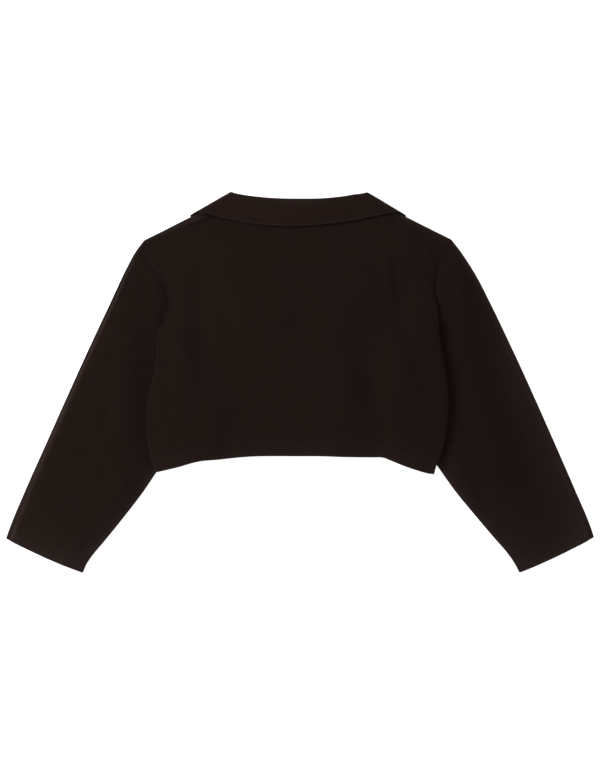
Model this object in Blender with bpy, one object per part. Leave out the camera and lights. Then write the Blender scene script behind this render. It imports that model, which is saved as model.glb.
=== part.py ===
# Collared knitted shrug, laid flat on its front with the back up.
# A back, two fronts that meet at the centre, two set-in sleeves and a one-piece turn-down collar.
# Tables and sizes are in millimetres: x to the right, y towards the neck, z up from the surface below.
# Left and right are the wearer's, so the left half is at -x. "out" is a distance outwards from the centre.

import bpy
import numpy as np

METRES = 0.001

# Cloth
CLOTH = 1.5                # one layer of the knit
COLLAR_CLOTH = 2.0         # the collar's two plies, pressed
SEAM = 0.3                 # between two pieces that are sewn together
SLANTED_SEAM = 1.4 * SEAM  # the same gap measured level, where the seam slants
SLACK = 0.6                # between layers that only lie on each other
HEM_DEPTH = 25.0           # turned hem of the body
CUFF_DEPTH = 28.0          # turned hem of the sleeve
HEM_LOFT = 2 * CLOTH       # the room that the two turned plies take between front and back
BODY_LOFT = 2.4            # how far the back stands off the fronts away from its edges
SLEEVE_LOFT = 2.3          # and the sleeve's upper layer off its lower one
MOST_LOFT = 3.6

# Body
CENTRE_BACK_NECK = 238.9   # y of the neck seam at the centre back
CENTRE_FRONT_NECK = 168.0  # y of the neck seam at the centre front
SHOULDER_WRAP_TIP = 3.0    # how far the front wraps over the shoulder to the back, at the sleeve
NECK_COLUMNS = 9           # columns of the mesh over each half of the neck
SHOULDER_COLUMNS = 7       # and over each shoulder
BODY_ROWS = 20             # rows of the mesh between the turned hem and the top
HEM_ROWS = 2               # rows of the mesh in the turned hem
LEDGE = 1.0                # the turned ply ends over this length
SIDE_RAMP = 36.0           # the back rises to its full loft over this length from its sides
TOP_RAMP = 45.0            # and over this length from its top, past a strip that stays low
NECK_STRIP = 35.0          # width of that strip beneath the collar
SHOULDER_STRIP = 8.0       # and along the shoulders' outer ends
FOLD_FADE = 20.0           # the folds fade out over this length before the sides
FRONT_NECK_FAN = 0.42      # above this part of its height, a front's columns fan out to its neck seam

HALVES = {
    "left": {
        "sign": -1,
        "neck point": (125.1, 256.2),      # out, y of the shoulder's fold at the neck
        "shoulder tip": (225.4, 206.3),
        "shoulder wrap": 12.0,             # how far the front wraps over the shoulder, at the neck
        "hem corner": (207.0, -128.7),
        "sleeve top": 205.0,               # y where the sleeve's outer fold starts
        "underarm": (152.6, -55.5),        # out, y of the sleeve's underarm point, beneath the body
        # y, out
        "side": ((-128.7, 207.0), (-110.6, 215.0), (-84.5, 220.8), (-41.0, 221.8), (-7.6, 219.0),
                 (25.7, 212.4), (54.7, 210.6), (91.0, 201.2), (115.6, 194.7), (132.3, 198.3),
                 (163.5, 212.1), (191.0, 225.0), (206.3, 224.0)),
        "sleeve outer": ((-226.3, 426.1), (-211.3, 420.9), (-159.1, 399.3), (-89.5, 368.4),
                         (49.7, 305.7), (119.3, 273.1), (162.8, 252.7), (188.9, 238.5), (206.3, 225.4)),
        "sleeve inner": ((-275.9, 314.6), (-263.6, 309.4), (-251.2, 301.1), (-228.7, 282.4),
                         (-193.9, 254.3), (-159.1, 227.6), (-128.7, 207.0), (-55.5, 152.6)),
        "collar end": (147.5, 248.8),      # out, y where the collar's edge meets its side crease
        "collar corner": (98.9, 275.1),    # out, y where the collar's fold meets its side crease
    },
    "right": {
        "sign": 1,
        "neck point": (124.3, 254.0),
        "shoulder tip": (218.4, 206.3),
        "shoulder wrap": 6.0,
        "hem corner": (193.9, -132.3),
        "sleeve top": 205.0,
        "underarm": (150.5, -55.5),
        "side": ((-132.3, 193.9), (-118.7, 199.3), (-96.1, 208.7), (-51.8, 216.0), (-17.8, 218.3),
                 (15.6, 214.2), (59.8, 206.0), (109.8, 200.5), (141.7, 196.8), (175.1, 202.6),
                 (206.3, 217.0)),
        "sleeve outer": ((-224.5, 426.1), (-211.3, 421.9), (-159.1, 400.0), (-89.5, 369.7),
                         (49.7, 306.7), (119.3, 273.1), (145.4, 259.8), (171.5, 244.1),
                         (188.9, 232.2), (206.3, 218.4)),
        "sleeve inner": ((-275.9, 317.9), (-263.5, 311.5), (-246.1, 299.4), (-228.7, 284.3),
                         (-193.9, 254.7), (-159.1, 226.0), (-120.0, 198.3), (-55.5, 150.5)),
        "collar end": (142.0, 248.5),
        "collar corner": (98.9, 275.0),
    },
}

# x, y of the hem's edge
HEM_LINE = ((-207.0, -128.7), (-179.4, -122.9), (-144.6, -113.8), (-92.4, -108.4), (-5.4, -106.4),
            (64.2, -107.5), (119.0, -107.8), (134.0, -113.3), (168.6, -126.2), (193.9, -132.3))

# Collar
STAND_RADIUS = COLLAR_CLOTH / 2 + 0.2                    # of the stand round the side crease
FALL_RADIUS = STAND_RADIUS + COLLAR_CLOTH + SLACK        # of the fall round the side crease
COLLAR_MIDDLE = FALL_RADIUS + COLLAR_CLOTH / 2           # height of the collar's middle plane
COLLAR_LIFT = COLLAR_CLOTH + SLACK                       # the fronts lie this high on the front fall
NECK_LOFT = COLLAR_MIDDLE + STAND_RADIUS - COLLAR_LIFT - 1.5 * CLOTH - SEAM
COLLAR_TIP = (52.6, 115.6)                               # out, y of the front fall's point
COLLAR_FRONT = 2.4                                       # out of the collar's front edge
FRONT_STAND = 6.0                                        # height of the stand at the centre front
STAND_ROWS = (0.0, 0.5, 1.0)                             # rows of the mesh from the neck seam to the fold
FALL_ROWS = (0.0, 0.3, 0.65, 1.0)                        # and from the fold to the edge
# x, y of the collar's fold over the back, and of the fall's edge over the back
ROLL_LINE = ((-98.9, 275.1), (-75.0, 271.0), (-57.6, 269.1), (0.0, 266.6), (29.4, 267.0),
             (64.2, 270.6), (81.6, 273.2), (98.9, 275.0))
FALL_EDGE = ((-147.5, 248.8), (-128.0, 242.5), (-90.3, 233.7), (-58.4, 228.3), (-1.8, 226.1),
             (51.8, 230.5), (98.9, 238.7), (142.0, 248.5))

HALF_TURN = (-90, -45, 0, 45, 90)         # degrees about a fold, from the lower layer to the upper one

# Sleeve
SLEEVE_LIFT = 2 * CLOTH + SEAM + 0.9      # the body's sides lie this high on the sleeves
SLEEVE_ACROSS = 12                        # columns of the mesh in each of the sleeve's two layers
ARMHOLE_COLUMNS = 6                       # of which these are sewn to the body's edge
SLEEVE_RINGS = 17                         # rings of the mesh between the armhole and the turned hem
RING_SPREAD = 1.2                         # above 1, the rings are closer together near the armhole
CUFF_RINGS = 3                            # and in the turned hem
CUFF_START = 0.93                         # the part of the sleeve's mesh above the turned hem
CUFF_LEDGE = 0.003                        # the part in which the turned ply ends
CUFF_RAMP = 0.12                          # the part in which the sleeve swells to its hem's thickness
CUFF_BOW = 2.0                            # sag of the cuff's edge
SLEEVE_RAMP = 34.0                        # the sleeve rises to its full loft over this length
SLEEVE_STRIP = 15.0                       # it stays low in this strip along the body's side
LIFT_MARGIN = 22.0                        # the full lift goes this far past what lies beneath
LIFT_RAMP = 45.0                          # and fades over this length

# Soft folds in the back: a valley has a negative height, a ridge a positive one
FOLD_COLUMNS = ("x0", "y0", "x1", "y1", "bow", "width", "height")
BODY_FOLDS = (
    (72.0, 91.0, 120.0, -84.0, -7.0, 24.0, -2.3),      # the long valley towards the hem
    (127.0, 181.0, 168.0, -13.0, 1.0, 20.0, -2.0),     # the valley from the right shoulder
    (-160.0, 175.0, -157.0, -10.0, 0.0, 20.0, -1.5),   # the upright valley inside the left armhole
    (-108.0, -24.0, -78.0, -60.0, 0.0, 20.0, -1.0),
    (105.0, 120.0, 140.0, -60.0, 0.0, 22.0, 0.7),      # the ridge between the two long valleys
)
SLEEVE_FOLDS = {
    "left": (
        (-262.0, 110.0, -300.0, 10.0, 6.0, 24.0, 0.8),
        (-330.0, -60.0, -262.0, -150.0, -8.0, 24.0, -1.1),
    ),
    "right": (
        (268.0, 60.0, 296.0, -20.0, 4.0, 26.0, -1.6),
        (262.0, -100.0, 300.0, -150.0, 0.0, 26.0, -1.3),
        (348.0, -83.0, 400.0, -190.0, 0.0, 26.0, 0.7),
    ),
}

KNIT_COLOUR = (0.0137, 0.0080, 0.0070, 1.0)
KNIT_ROUGHNESS = 0.9


def ease(amount):
    """From 0 to 1 with a level start and end."""
    amount = np.clip(amount, 0.0, 1.0)
    return amount * amount * (3 - 2 * amount)


def blend(start, end, amount):
    return start + (end - start) * amount


def through(rows, at):
    """A smooth line through a table's rows: each row is a place and the value there."""
    places, values = np.array(sorted(rows)).T
    slopes = np.gradient(values, places)
    at = np.clip(at, places[0], places[-1])
    span = np.clip(np.searchsorted(places, at, side="right") - 1, 0, len(places) - 2)
    length = places[span + 1] - places[span]
    t = (at - places[span]) / length
    rise = values[span + 1] - values[span]
    cubic = slopes[span] + slopes[span + 1] - 2 * rise / length
    square = 3 * rise / length - 2 * slopes[span] - slopes[span + 1]
    return values[span] + length * t * (slopes[span] + t * (square + t * cubic))


def distance_to_line(x, y, line):
    """The plan distance from each x, y to a line of straight pieces."""
    nearest = np.full(np.shape(x), np.inf)
    for (ax, ay), (bx, by) in zip(line[:-1], line[1:]):
        length_squared = (bx - ax) ** 2 + (by - ay) ** 2
        t = np.clip(((x - ax) * (bx - ax) + (y - ay) * (by - ay)) / length_squared, 0, 1)
        nearest = np.minimum(nearest, np.hypot(x - blend(ax, bx, t), y - blend(ay, by, t)))
    return nearest


def inside(x, y, corners):
    """Whether each x, y is inside a polygon, by counting the sides crossed."""
    crossed = np.zeros(np.shape(x), dtype=int)
    for (ax, ay), (bx, by) in zip(corners, corners[1:] + corners[:1]):
        if ay != by:
            beyond = x < ax + (y - ay) * (bx - ax) / (by - ay)
            crossed += ((ay > y) != (by > y)) & beyond
    return crossed % 2 == 1


def fold_heights(x, y, folds):
    """The sum of soft valleys and ridges, each a bell across a slightly bowed line."""
    total = np.zeros(np.shape(x))
    for row in folds:
        fold = dict(zip(FOLD_COLUMNS, row))
        run = np.array((fold["x1"] - fold["x0"], fold["y1"] - fold["y0"]))
        sideways = np.array((-run[1], run[0])) / np.hypot(*run)
        line = [np.array((fold["x0"], fold["y0"])) + run * t + sideways * fold["bow"] * 4 * t * (1 - t)
                for t in np.linspace(0, 1, 7)]
        across = distance_to_line(x, y, line) / fold["width"]
        total += fold["height"] * (1 - ease(across))
    return total


def place(side, out_and_y):
    """The plan x, y of a point given as out, y."""
    return np.array((HALVES[side]["sign"] * out_and_y[0], out_and_y[1]))


def unit(vectors):
    return vectors / np.linalg.norm(vectors, axis=-1, keepdims=True)


def raised(x, y, corners, height):
    """A plateau over a polygon and its margin, fading to nothing past it."""
    away = distance_to_line(x, y, corners + corners[:1])
    away = np.where(inside(x, y, corners), 0.0, away)
    return height * (1 - ease((away - LIFT_MARGIN) / LIFT_RAMP))


def collar_outline():
    """The plan outline of the collar's front, which the fronts lie on."""
    left = [place("left", HALVES["left"][name]) for name in ("collar corner", "collar end")]
    right = [place("right", HALVES["right"][name]) for name in ("collar end", "collar corner")]
    middle = [place("left", COLLAR_TIP), np.array((0.0, CENTRE_FRONT_NECK)), place("right", COLLAR_TIP)]
    return left + middle + right


def hidden_sleeve(side):
    """The plan corners of the part of a sleeve that lies beneath the body."""
    half = HALVES[side]
    armhole = armhole_points(side)
    return [armhole[ARMHOLE_COLUMNS], place(side, half["underarm"]), place(side, half["hem corner"])]


def floor_of_body(x, y):
    """Height of the fronts' lower face: on the surface, on the collar's fall or on the sleeves."""
    over_collar = raised(x, y, collar_outline(), COLLAR_LIFT)
    over_left = raised(x, y, hidden_sleeve("left"), SLEEVE_LIFT)
    over_right = raised(x, y, hidden_sleeve("right"), SLEEVE_LIFT)
    return np.maximum(over_collar, np.maximum(over_left, over_right))


def shoulder_direction(side):
    """Plan direction from the neck to the shoulder's tip, and the one out over the shoulder's fold."""
    half = HALVES[side]
    run = unit(place(side, half["shoulder tip"]) - place(side, half["neck point"]))
    over = np.array((-run[1], run[0])) * -half["sign"]
    return run, over * np.sign(over[1])


def shoulder_seam(side):
    """The two ends of the shoulder seam, which lies on the back, behind the shoulder's fold."""
    half = HALVES[side]
    over = shoulder_direction(side)[1]
    at_neck = place(side, half["neck point"]) - over * half["shoulder wrap"]
    at_tip = place(side, half["shoulder tip"]) - over * SHOULDER_WRAP_TIP
    return at_neck, at_tip


def body_levels():
    """The mesh rows' places from the hem's edge, 0, to the top, 1, with a pair at the turned ply's end."""
    height = CENTRE_BACK_NECK - through(HEM_LINE, 0.0)
    hem = HEM_DEPTH / height
    above = hem + LEDGE / height
    return np.concatenate(([0.0, hem], np.linspace(above, 1.0, BODY_ROWS)))


def half_body(side):
    """Plan points of half the body: rows from hem to top, columns from the centre to the side."""
    half = HALVES[side]
    at_neck, at_tip = shoulder_seam(side)
    neck_x = np.linspace(0.0, at_neck[0], NECK_COLUMNS + 1)
    neck_y = blend(CENTRE_BACK_NECK, at_neck[1], (neck_x / at_neck[0]) ** 2)
    shoulder = np.linspace(at_neck, at_tip, SHOULDER_COLUMNS + 1)[1:]
    top_x = np.concatenate((neck_x, shoulder[:, 0]))
    top_y = np.concatenate((neck_y, shoulder[:, 1]))
    share = top_x / at_tip[0]
    corner = place(side, half["hem corner"])
    hem_x = corner[0] * share
    hem_y = through(HEM_LINE, hem_x)
    level = body_levels()[:, None]
    side_y = blend(corner[1], at_tip[1], level)
    side_x = half["sign"] * through(half["side"], side_y)
    pull = side_x - blend(corner[0], at_tip[0], level)
    pull[-1] = 0.0
    x = blend(hem_x, top_x, level) + pull * share ** 2
    return np.stack((x, blend(hem_y, top_y, level)), axis=-1)


def body_plan():
    """Plan points of the whole body, columns from the left side to the right side."""
    return np.concatenate((half_body("left")[:, ::-1], half_body("right")[:, 1:]), axis=1)


def body_loft(plan):
    """How far the back's lower face stands off the fronts' upper face, past the seam's gap."""
    x, y = plan[..., 0], plan[..., 1]
    side_x = np.where(x < 0, plan[:, :1, 0], plan[:, -1:, 0])
    from_side = np.abs(side_x - x)
    from_top = plan[-1, :, 1] - y
    columns = np.arange(plan.shape[1])
    from_neck = np.maximum(np.abs(columns - columns.mean()) - NECK_COLUMNS, 0) / SHOULDER_COLUMNS
    at_top = blend(NECK_LOFT, SEAM, from_neck)
    strip = blend(NECK_STRIP, SHOULDER_STRIP, ease(2 * from_neck))
    loft = blend(at_top, BODY_LOFT, ease((from_top - strip) / TOP_RAMP)) * ease(from_side / SIDE_RAMP)
    loft += fold_heights(x, y, BODY_FOLDS) * ease(from_side / FOLD_FADE)
    level = body_levels()[:, None]
    hem_end = body_levels()[2]
    turned = HEM_LOFT * (1 - ease((level - hem_end) / (3 * hem_end)))
    return np.maximum(np.clip(loft, 0.0, MOST_LOFT), turned)


def turned_ply(within, middle):
    """Extra thickness on the inner side: one more layer on the rows of a mesh that are in a turned hem."""
    return np.repeat(np.where(within, CLOTH, 0.0), middle.shape[1])


def grid_faces(cells, turned=False, closed=False, first=0):
    """Quads of a mesh of rows and columns; cells marks the ones that exist. A quad is split from its
    first corner, and stacked pieces split theirs alike, so that they keep their distance."""
    rows, columns = cells.shape
    width = columns if closed else columns + 1
    faces = []
    for row, column in zip(*np.nonzero(cells)):
        beside = (column + 1) % width
        near, far = row * width, (row + 1) * width
        corners = (near + column, near + beside, far + beside, far + column)
        corners = corners[first:] + corners[:first]
        faces.append(corners[:1] + corners[:0:-1] if turned else corners)
    return faces


def cloth_solid(name, middle, normals, faces, thickness=CLOTH, ply=0.0):
    """One closed solid: the middle surface moved out and in, and a wall round every open edge."""
    middle = middle.reshape(-1, 3)
    normals = normals.reshape(-1, 3)
    ply = np.broadcast_to(ply, middle.shape[:1])[:, None]
    outer = middle + normals * thickness / 2
    inner = middle - normals * (thickness / 2 + ply)
    used = sorted({corner for face in faces for corner in face})
    number = {corner: index for index, corner in enumerate(used)}
    count = len(used)
    outside = [tuple(number[corner] for corner in face) for face in faces]
    edges = {(face[i], face[(i + 1) % 4]) for face in outside for i in range(4)}
    walls = [(b, a, a + count, b + count) for a, b in sorted(edges) if (b, a) not in edges]
    inside_faces = [(f[0] + count, f[3] + count, f[2] + count, f[1] + count) for f in outside]
    points = np.concatenate((outer[used], inner[used])) * METRES
    mesh = bpy.data.meshes.new(name)
    mesh.from_pydata(points.tolist(), [], outside + inside_faces + walls)
    mesh.validate()
    mesh.materials.append(knit_material(name))
    mesh.shade_smooth()
    mesh.set_sharp_from_angle(angle=0.9)
    piece = bpy.data.objects.new(name, mesh)
    bpy.context.scene.collection.objects.link(piece)
    return piece


def knit_material(name):
    """Very dark brown fine knit."""
    material = bpy.data.materials.new("knit_" + name)
    material.use_nodes = True
    shader = material.node_tree.nodes["Principled BSDF"]
    shader.inputs["Base Color"].default_value = KNIT_COLOUR
    shader.inputs["Roughness"].default_value = KNIT_ROUGHNESS
    shader.inputs["Metallic"].default_value = 0.0
    material.diffuse_color = KNIT_COLOUR
    return material


def make_back(plan):
    """The back panel, on top: its upper face is its outer face."""
    x, y = plan[..., 0], plan[..., 1]
    height = floor_of_body(x, y) + CLOTH + SEAM + body_loft(plan) + CLOTH / 2
    middle = np.stack((x, y, height), axis=-1)
    normals = np.zeros_like(middle)
    normals[..., 2] = 1.0
    in_hem = np.arange(len(plan)) < HEM_ROWS
    cells = np.ones((plan.shape[0] - 1, plan.shape[1] - 1), dtype=bool)
    cloth_solid("back", middle, normals, grid_faces(cells), ply=turned_ply(in_hem, middle))


def front_neck(side):
    """Plan points of the front's neck seam, from the centre front to the shoulder seam's end."""
    corner = shoulder_seam(side)[0]
    angle = np.linspace(np.pi / 2, 0.0, NECK_COLUMNS + 1)
    x = corner[0] * np.cos(angle)
    y = blend(corner[1], CENTRE_FRONT_NECK, np.sin(angle))
    return np.stack((x, y), axis=-1)


def shoulder_wrap(side, seam, loft):
    """The rows that carry a front over the shoulder's fold to the seam on the back, and their normals."""
    over = np.append(shoulder_direction(side)[1], 0.0)
    up = np.array((0.0, 0.0, 1.0))
    tip_share = np.clip((np.arange(len(seam)) - NECK_COLUMNS) / SHOULDER_COLUMNS, 0, 1)
    width = blend(HALVES[side]["shoulder wrap"], SHOULDER_WRAP_TIP, tip_share)[:, None]
    radius = (CLOTH + SEAM + loft[:, None]) / 2
    centre = seam + over * (width - radius - CLOTH / 2) + up * radius
    rows, normals = [], []
    for angle in np.radians(HALF_TURN):
        direction = over * np.cos(angle) + up * np.sin(angle)
        rows.append(centre + direction * radius)
        normals.append(np.broadcast_to(direction, seam.shape))
    rows.append(seam + over * SEAM + up * 2 * radius)
    normals.append(np.broadcast_to(up, seam.shape))
    return np.array(rows), np.array(normals)


def make_front(side, plan, loft):
    """A front, beneath: its lower face is its outer face, and it wraps over the shoulder to the back.
    Its plan has the columns from the centre to the side."""
    sign = HALVES[side]["sign"]
    levels = body_levels()
    points = plan.copy()
    fan = int(np.searchsorted(levels, FRONT_NECK_FAN))
    share = ((levels[fan:] - levels[fan]) / (1 - levels[fan]))[:, None, None]
    neck = slice(0, NECK_COLUMNS + 1)
    points[fan:, neck] = blend(points[fan:fan + 1, neck], front_neck(side)[None], share)
    points[:, 0, 0] = sign * SEAM / 2
    x, y = points[..., 0], points[..., 1]
    middle = np.stack((x, y, floor_of_body(x, y) + CLOTH / 2), axis=-1)
    normals = np.zeros_like(middle)
    normals[..., 2] = -1.0
    wrap, wrap_normals = shoulder_wrap(side, middle[-1], loft[-1])
    middle = np.concatenate((middle, wrap))
    normals = np.concatenate((normals, wrap_normals))
    in_hem = np.arange(len(middle)) < HEM_ROWS
    cells = np.ones((middle.shape[0] - 1, middle.shape[1] - 1), dtype=bool)
    cells[len(levels) - 1:, :NECK_COLUMNS] = False
    faces = grid_faces(cells, turned=sign > 0, first=0 if sign > 0 else 1)
    cloth_solid("front_" + side, middle, normals, faces, ply=turned_ply(in_hem, middle))


def armhole_points(side):
    """Plan points of the sleeve's open upper end: down the armhole, then on beneath the body."""
    half = HALVES[side]
    start = (through(half["sleeve outer"], half["sleeve top"]), half["sleeve top"])
    body = half_body(side)[::-1, -1]
    sewn = body[1:ARMHOLE_COLUMNS + 1] + np.array((half["sign"] * SLANTED_SEAM, 0.0))
    underarm = place(side, half["underarm"])
    under = np.linspace(sewn[-1], underarm, SLEEVE_ACROSS - ARMHOLE_COLUMNS + 1)[1:]
    return np.concatenate(([place(side, start)], sewn, under))


def sleeve_levels():
    """Places of the sleeve's rings from the armhole, 0, to the cuff, 1, with a pair at the turned ply's end."""
    upper = CUFF_START * np.linspace(0, 1, SLEEVE_RINGS) ** RING_SPREAD
    return np.concatenate((upper, np.linspace(CUFF_START + CUFF_LEDGE, 1.0, CUFF_RINGS)))


def sleeve_edge(side, name, level, start_y):
    """Plan points down one edge of a sleeve; its turned hem takes the levels past CUFF_START."""
    rows = HALVES[side][name]
    end_y = min(rows)[0]
    end_out = min(rows)[1]
    run = np.hypot(end_y - rows[2][0], end_out - rows[2][1]) / abs(rows[2][0] - end_y)
    cuff_y = end_y + CUFF_DEPTH / run
    y = np.interp(level, (0.0, CUFF_START, 1.0), (start_y, cuff_y, end_y))
    return np.stack((HALVES[side]["sign"] * through(rows, y), y), axis=-1)


def sleeve_plan(side):
    """Plan points of a sleeve: rows down its length, columns from its outer edge to its inner edge."""
    half = HALVES[side]
    level = sleeve_levels()
    armhole = armhole_points(side)
    outer = sleeve_edge(side, "sleeve outer", level, half["sleeve top"])
    inner = sleeve_edge(side, "sleeve inner", level, half["underarm"][1])
    across = np.linspace(0, 1, SLEEVE_ACROSS + 1)
    cuff = np.linspace(outer[-1], inner[-1], SLEEVE_ACROSS + 1)
    cuff[:, 1] -= CUFF_BOW * 4 * across * (1 - across)
    down = level[:, None, None]
    side_pull = outer - blend(outer[:1], outer[-1:], level[:, None])
    inner_pull = inner - blend(inner[:1], inner[-1:], level[:, None])
    plan = blend(armhole[None], cuff[None], down)
    plan += side_pull[:, None] * (1 - across)[None, :, None] + inner_pull[:, None] * across[None, :, None]
    return plan


def sleeve_loft(side, plan):
    """How far the sleeve's upper layer stands off its lower one."""
    half = HALVES[side]
    x, y = plan[..., 0], plan[..., 1]
    from_outer = np.linalg.norm(plan - plan[:, :1], axis=-1)
    from_inner = np.linalg.norm(plan - plan[:, -1:], axis=-1)
    past_body = half["sign"] * x - through(half["side"], y)
    rise = ease(from_outer / SLEEVE_RAMP) * ease(from_inner / SLEEVE_RAMP)
    rise *= ease((past_body - SLEEVE_STRIP) / SLEEVE_RAMP)
    loft = rise * (SLEEVE_LOFT + fold_heights(x, y, SLEEVE_FOLDS[side]))
    turned = HEM_LOFT * ease((sleeve_levels()[:, None] - CUFF_START) / CUFF_RAMP + 1)
    return np.maximum(np.clip(loft, 0.0, MOST_LOFT), turned)


def inset_edges(plan, distance):
    """The sleeve's plan with its two edges drawn in, square to themselves, by a distance for each ring."""
    drawn = plan.copy()
    for edge, beside in ((0, 1), (-1, -2)):
        run = unit(np.gradient(plan[:, edge], axis=0))
        square = np.stack((-run[:, 1], run[:, 0]), axis=-1)
        inwards = np.sign(np.sum(square * (plan[:, beside] - plan[:, edge]), axis=-1))
        drawn[:, edge] += square * (inwards * distance[:, 0 if edge == 0 else 1])[:, None]
    return drawn


def make_sleeve(side):
    """A flattened tube: the lower layer, the inner fold, the upper layer and the outer fold."""
    plan = sleeve_plan(side)
    loft = sleeve_loft(side, plan)
    rings = plan.shape[0]
    radius = (CLOTH + SEAM + loft[:, (0, -1)]) / 2
    drawn = inset_edges(plan, radius + CLOTH / 2)
    up = np.array((0.0, 0.0, 1.0))
    low = np.concatenate((drawn, np.full(loft.shape + (1,), CLOTH / 2)), axis=-1)
    high = low + up * (CLOTH + SEAM + loft)[..., None]
    lower_normals = np.broadcast_to(-up, low.shape)
    rows = [low]
    normals = [lower_normals]
    for edge, number, angles in ((-1, 1, HALF_TURN[1:-1]), (0, 0, HALF_TURN[-2:0:-1])):
        outwards = unit(plan[:, edge] - drawn[:, edge])
        outwards = np.concatenate((outwards, np.zeros((rings, 1))), axis=-1)
        centre = low[:, edge] + up * radius[:, number:number + 1]
        for angle in np.radians(angles):
            direction = outwards * np.cos(angle) + up * np.sin(angle)
            rows.append((centre + direction * radius[:, number:number + 1])[:, None])
            normals.append(direction[:, None])
        if edge == -1:
            rows.append(high[:, ::-1])
            normals.append(-lower_normals)
    middle = np.concatenate(rows, axis=1)
    directions = np.concatenate(normals, axis=1)
    in_cuff = sleeve_levels() > CUFF_START
    cells = np.ones((rings - 1, middle.shape[1]), dtype=bool)
    faces = grid_faces(cells, turned=HALVES[side]["sign"] > 0, closed=True)
    cloth_solid("sleeve_" + side, middle, directions, faces, ply=turned_ply(in_cuff, middle))


def side_crease(side):
    """The collar's side crease: its direction out, and the neck, fold and edge ends of its centre line."""
    half = HALVES[side]
    corner = place(side, half["collar corner"])
    end = place(side, half["collar end"])
    run = unit(end - corner)
    out = np.array((run[1], -run[0])) * half["sign"]
    out = out * np.sign(out[1])
    inset = FALL_RADIUS + COLLAR_CLOTH / 2
    over = shoulder_direction(side)[1]
    fold_radius = (CLOTH + SEAM + NECK_LOFT) / 2 + CLOTH / 2
    neck = place(side, half["neck point"]) - over * fold_radius
    neck = neck - shoulder_direction(side)[0] * SEAM * 2
    return out, neck, corner - out * inset - run, end - out * inset


def collar_sections():
    """For each column of the collar: plan points at neck, fold and edge, the turn about the side crease,
    and the plan direction out of the crease. The columns run from the left front end round the back."""
    sections = []
    for side in ("left", "right"):
        out, crease_neck, crease_fold, crease_edge = side_crease(side)
        sign = HALVES[side]["sign"]
        neck = front_neck(side)
        neck[:, 0] = sign * np.maximum(np.abs(neck[:, 0]) - SEAM, COLLAR_FRONT)
        neck[:, 1] += SEAM * np.linspace(1.0, 0.0, len(neck))
        share = np.arange(NECK_COLUMNS + 1) / (NECK_COLUMNS + 1)
        angle = np.pi / 2 * (1 - share)
        fold_x = sign * COLLAR_FRONT + (crease_fold[0] - sign * COLLAR_FRONT) * np.cos(angle)
        fold_y = blend(crease_fold[1], CENTRE_FRONT_NECK + FRONT_STAND, np.sin(angle))
        fold = np.stack((fold_x, fold_y), axis=-1)
        edge = blend(place(side, COLLAR_TIP)[None], crease_edge[None], share[:, None])
        front = [(neck[i], fold[i], edge[i], HALF_TURN[0], out) for i in range(len(neck))]
        crease = [(crease_neck, crease_fold, crease_edge, turn, out) for turn in HALF_TURN]
        sections.append(front + crease)
    columns = half_body("left")[-1, NECK_COLUMNS::-1], half_body("right")[-1, 1:NECK_COLUMNS + 1]
    neck = np.concatenate(columns) + np.array((0.0, SEAM))
    share = np.arange(1, len(neck) + 1) / (len(neck) + 1)
    left, right = side_crease("left"), side_crease("right")
    fold_x = blend(left[2][0], right[2][0], share)
    fold_y = through(ROLL_LINE, fold_x) - STAND_RADIUS - COLLAR_CLOTH / 2
    edge_x = blend(left[3][0], right[3][0], share)
    edge_y = through(FALL_EDGE, edge_x)
    fold = np.stack((fold_x, fold_y), axis=-1)
    edge = np.stack((edge_x, edge_y), axis=-1)
    out = np.array((0.0, 1.0))
    back = [(neck[i], fold[i], edge[i], HALF_TURN[-1], out) for i in range(len(neck))]
    return sections[0] + back + sections[1][::-1]


def make_collar():
    """Stand, fold and fall, each section carried round the neck and turned about the side creases."""
    middle, normals = [], []
    fold_radius = (FALL_RADIUS - STAND_RADIUS) / 2
    level_at_fold = (FALL_RADIUS + STAND_RADIUS) / 2
    up = np.array((0.0, 0.0, 1.0))
    for neck, fold, edge, turn, out in collar_sections():
        about = np.array((out[0], out[1], 0.0)) * np.cos(np.radians(turn)) + up * np.sin(np.radians(turn))
        base = up * COLLAR_MIDDLE
        neck, fold, edge = (np.append(point, 0.0) for point in (neck, fold, edge))
        beyond = unit(fold - edge)
        column, directions = [], []
        for share in STAND_ROWS:
            column.append(blend(neck, fold, share) + base + about * STAND_RADIUS)
            directions.append(-about)
        for angle in np.radians(HALF_TURN[1:-1]):
            direction = beyond * np.cos(angle) + about * np.sin(angle)
            column.append(fold + base + about * level_at_fold + direction * fold_radius)
            directions.append(direction)
        for share in FALL_ROWS:
            column.append(blend(fold, edge, share) + base + about * FALL_RADIUS)
            directions.append(about)
        middle.append(column)
        normals.append(directions)
    middle = np.array(middle)
    cells = np.ones((middle.shape[0] - 1, middle.shape[1] - 1), dtype=bool)
    cloth_solid("collar", middle, np.array(normals), grid_faces(cells), thickness=COLLAR_CLOTH)


def make_shrug():
    for existing in list(bpy.data.objects):
        bpy.data.objects.remove(existing, do_unlink=True)
    plan = body_plan()
    loft = body_loft(plan)
    make_back(plan)
    centre = plan.shape[1] // 2
    make_front("left", plan[:, centre::-1], loft[:, centre::-1])
    make_front("right", plan[:, centre:], loft[:, centre:])
    make_sleeve("left")
    make_sleeve("right")
    make_collar()


make_shrug()
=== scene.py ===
# Collared knitted shrug, laid flat with its back up: cloth shells, sewing and finish.
# Shapes are worked out in millimetres and become metres in meshFrom.

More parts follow.
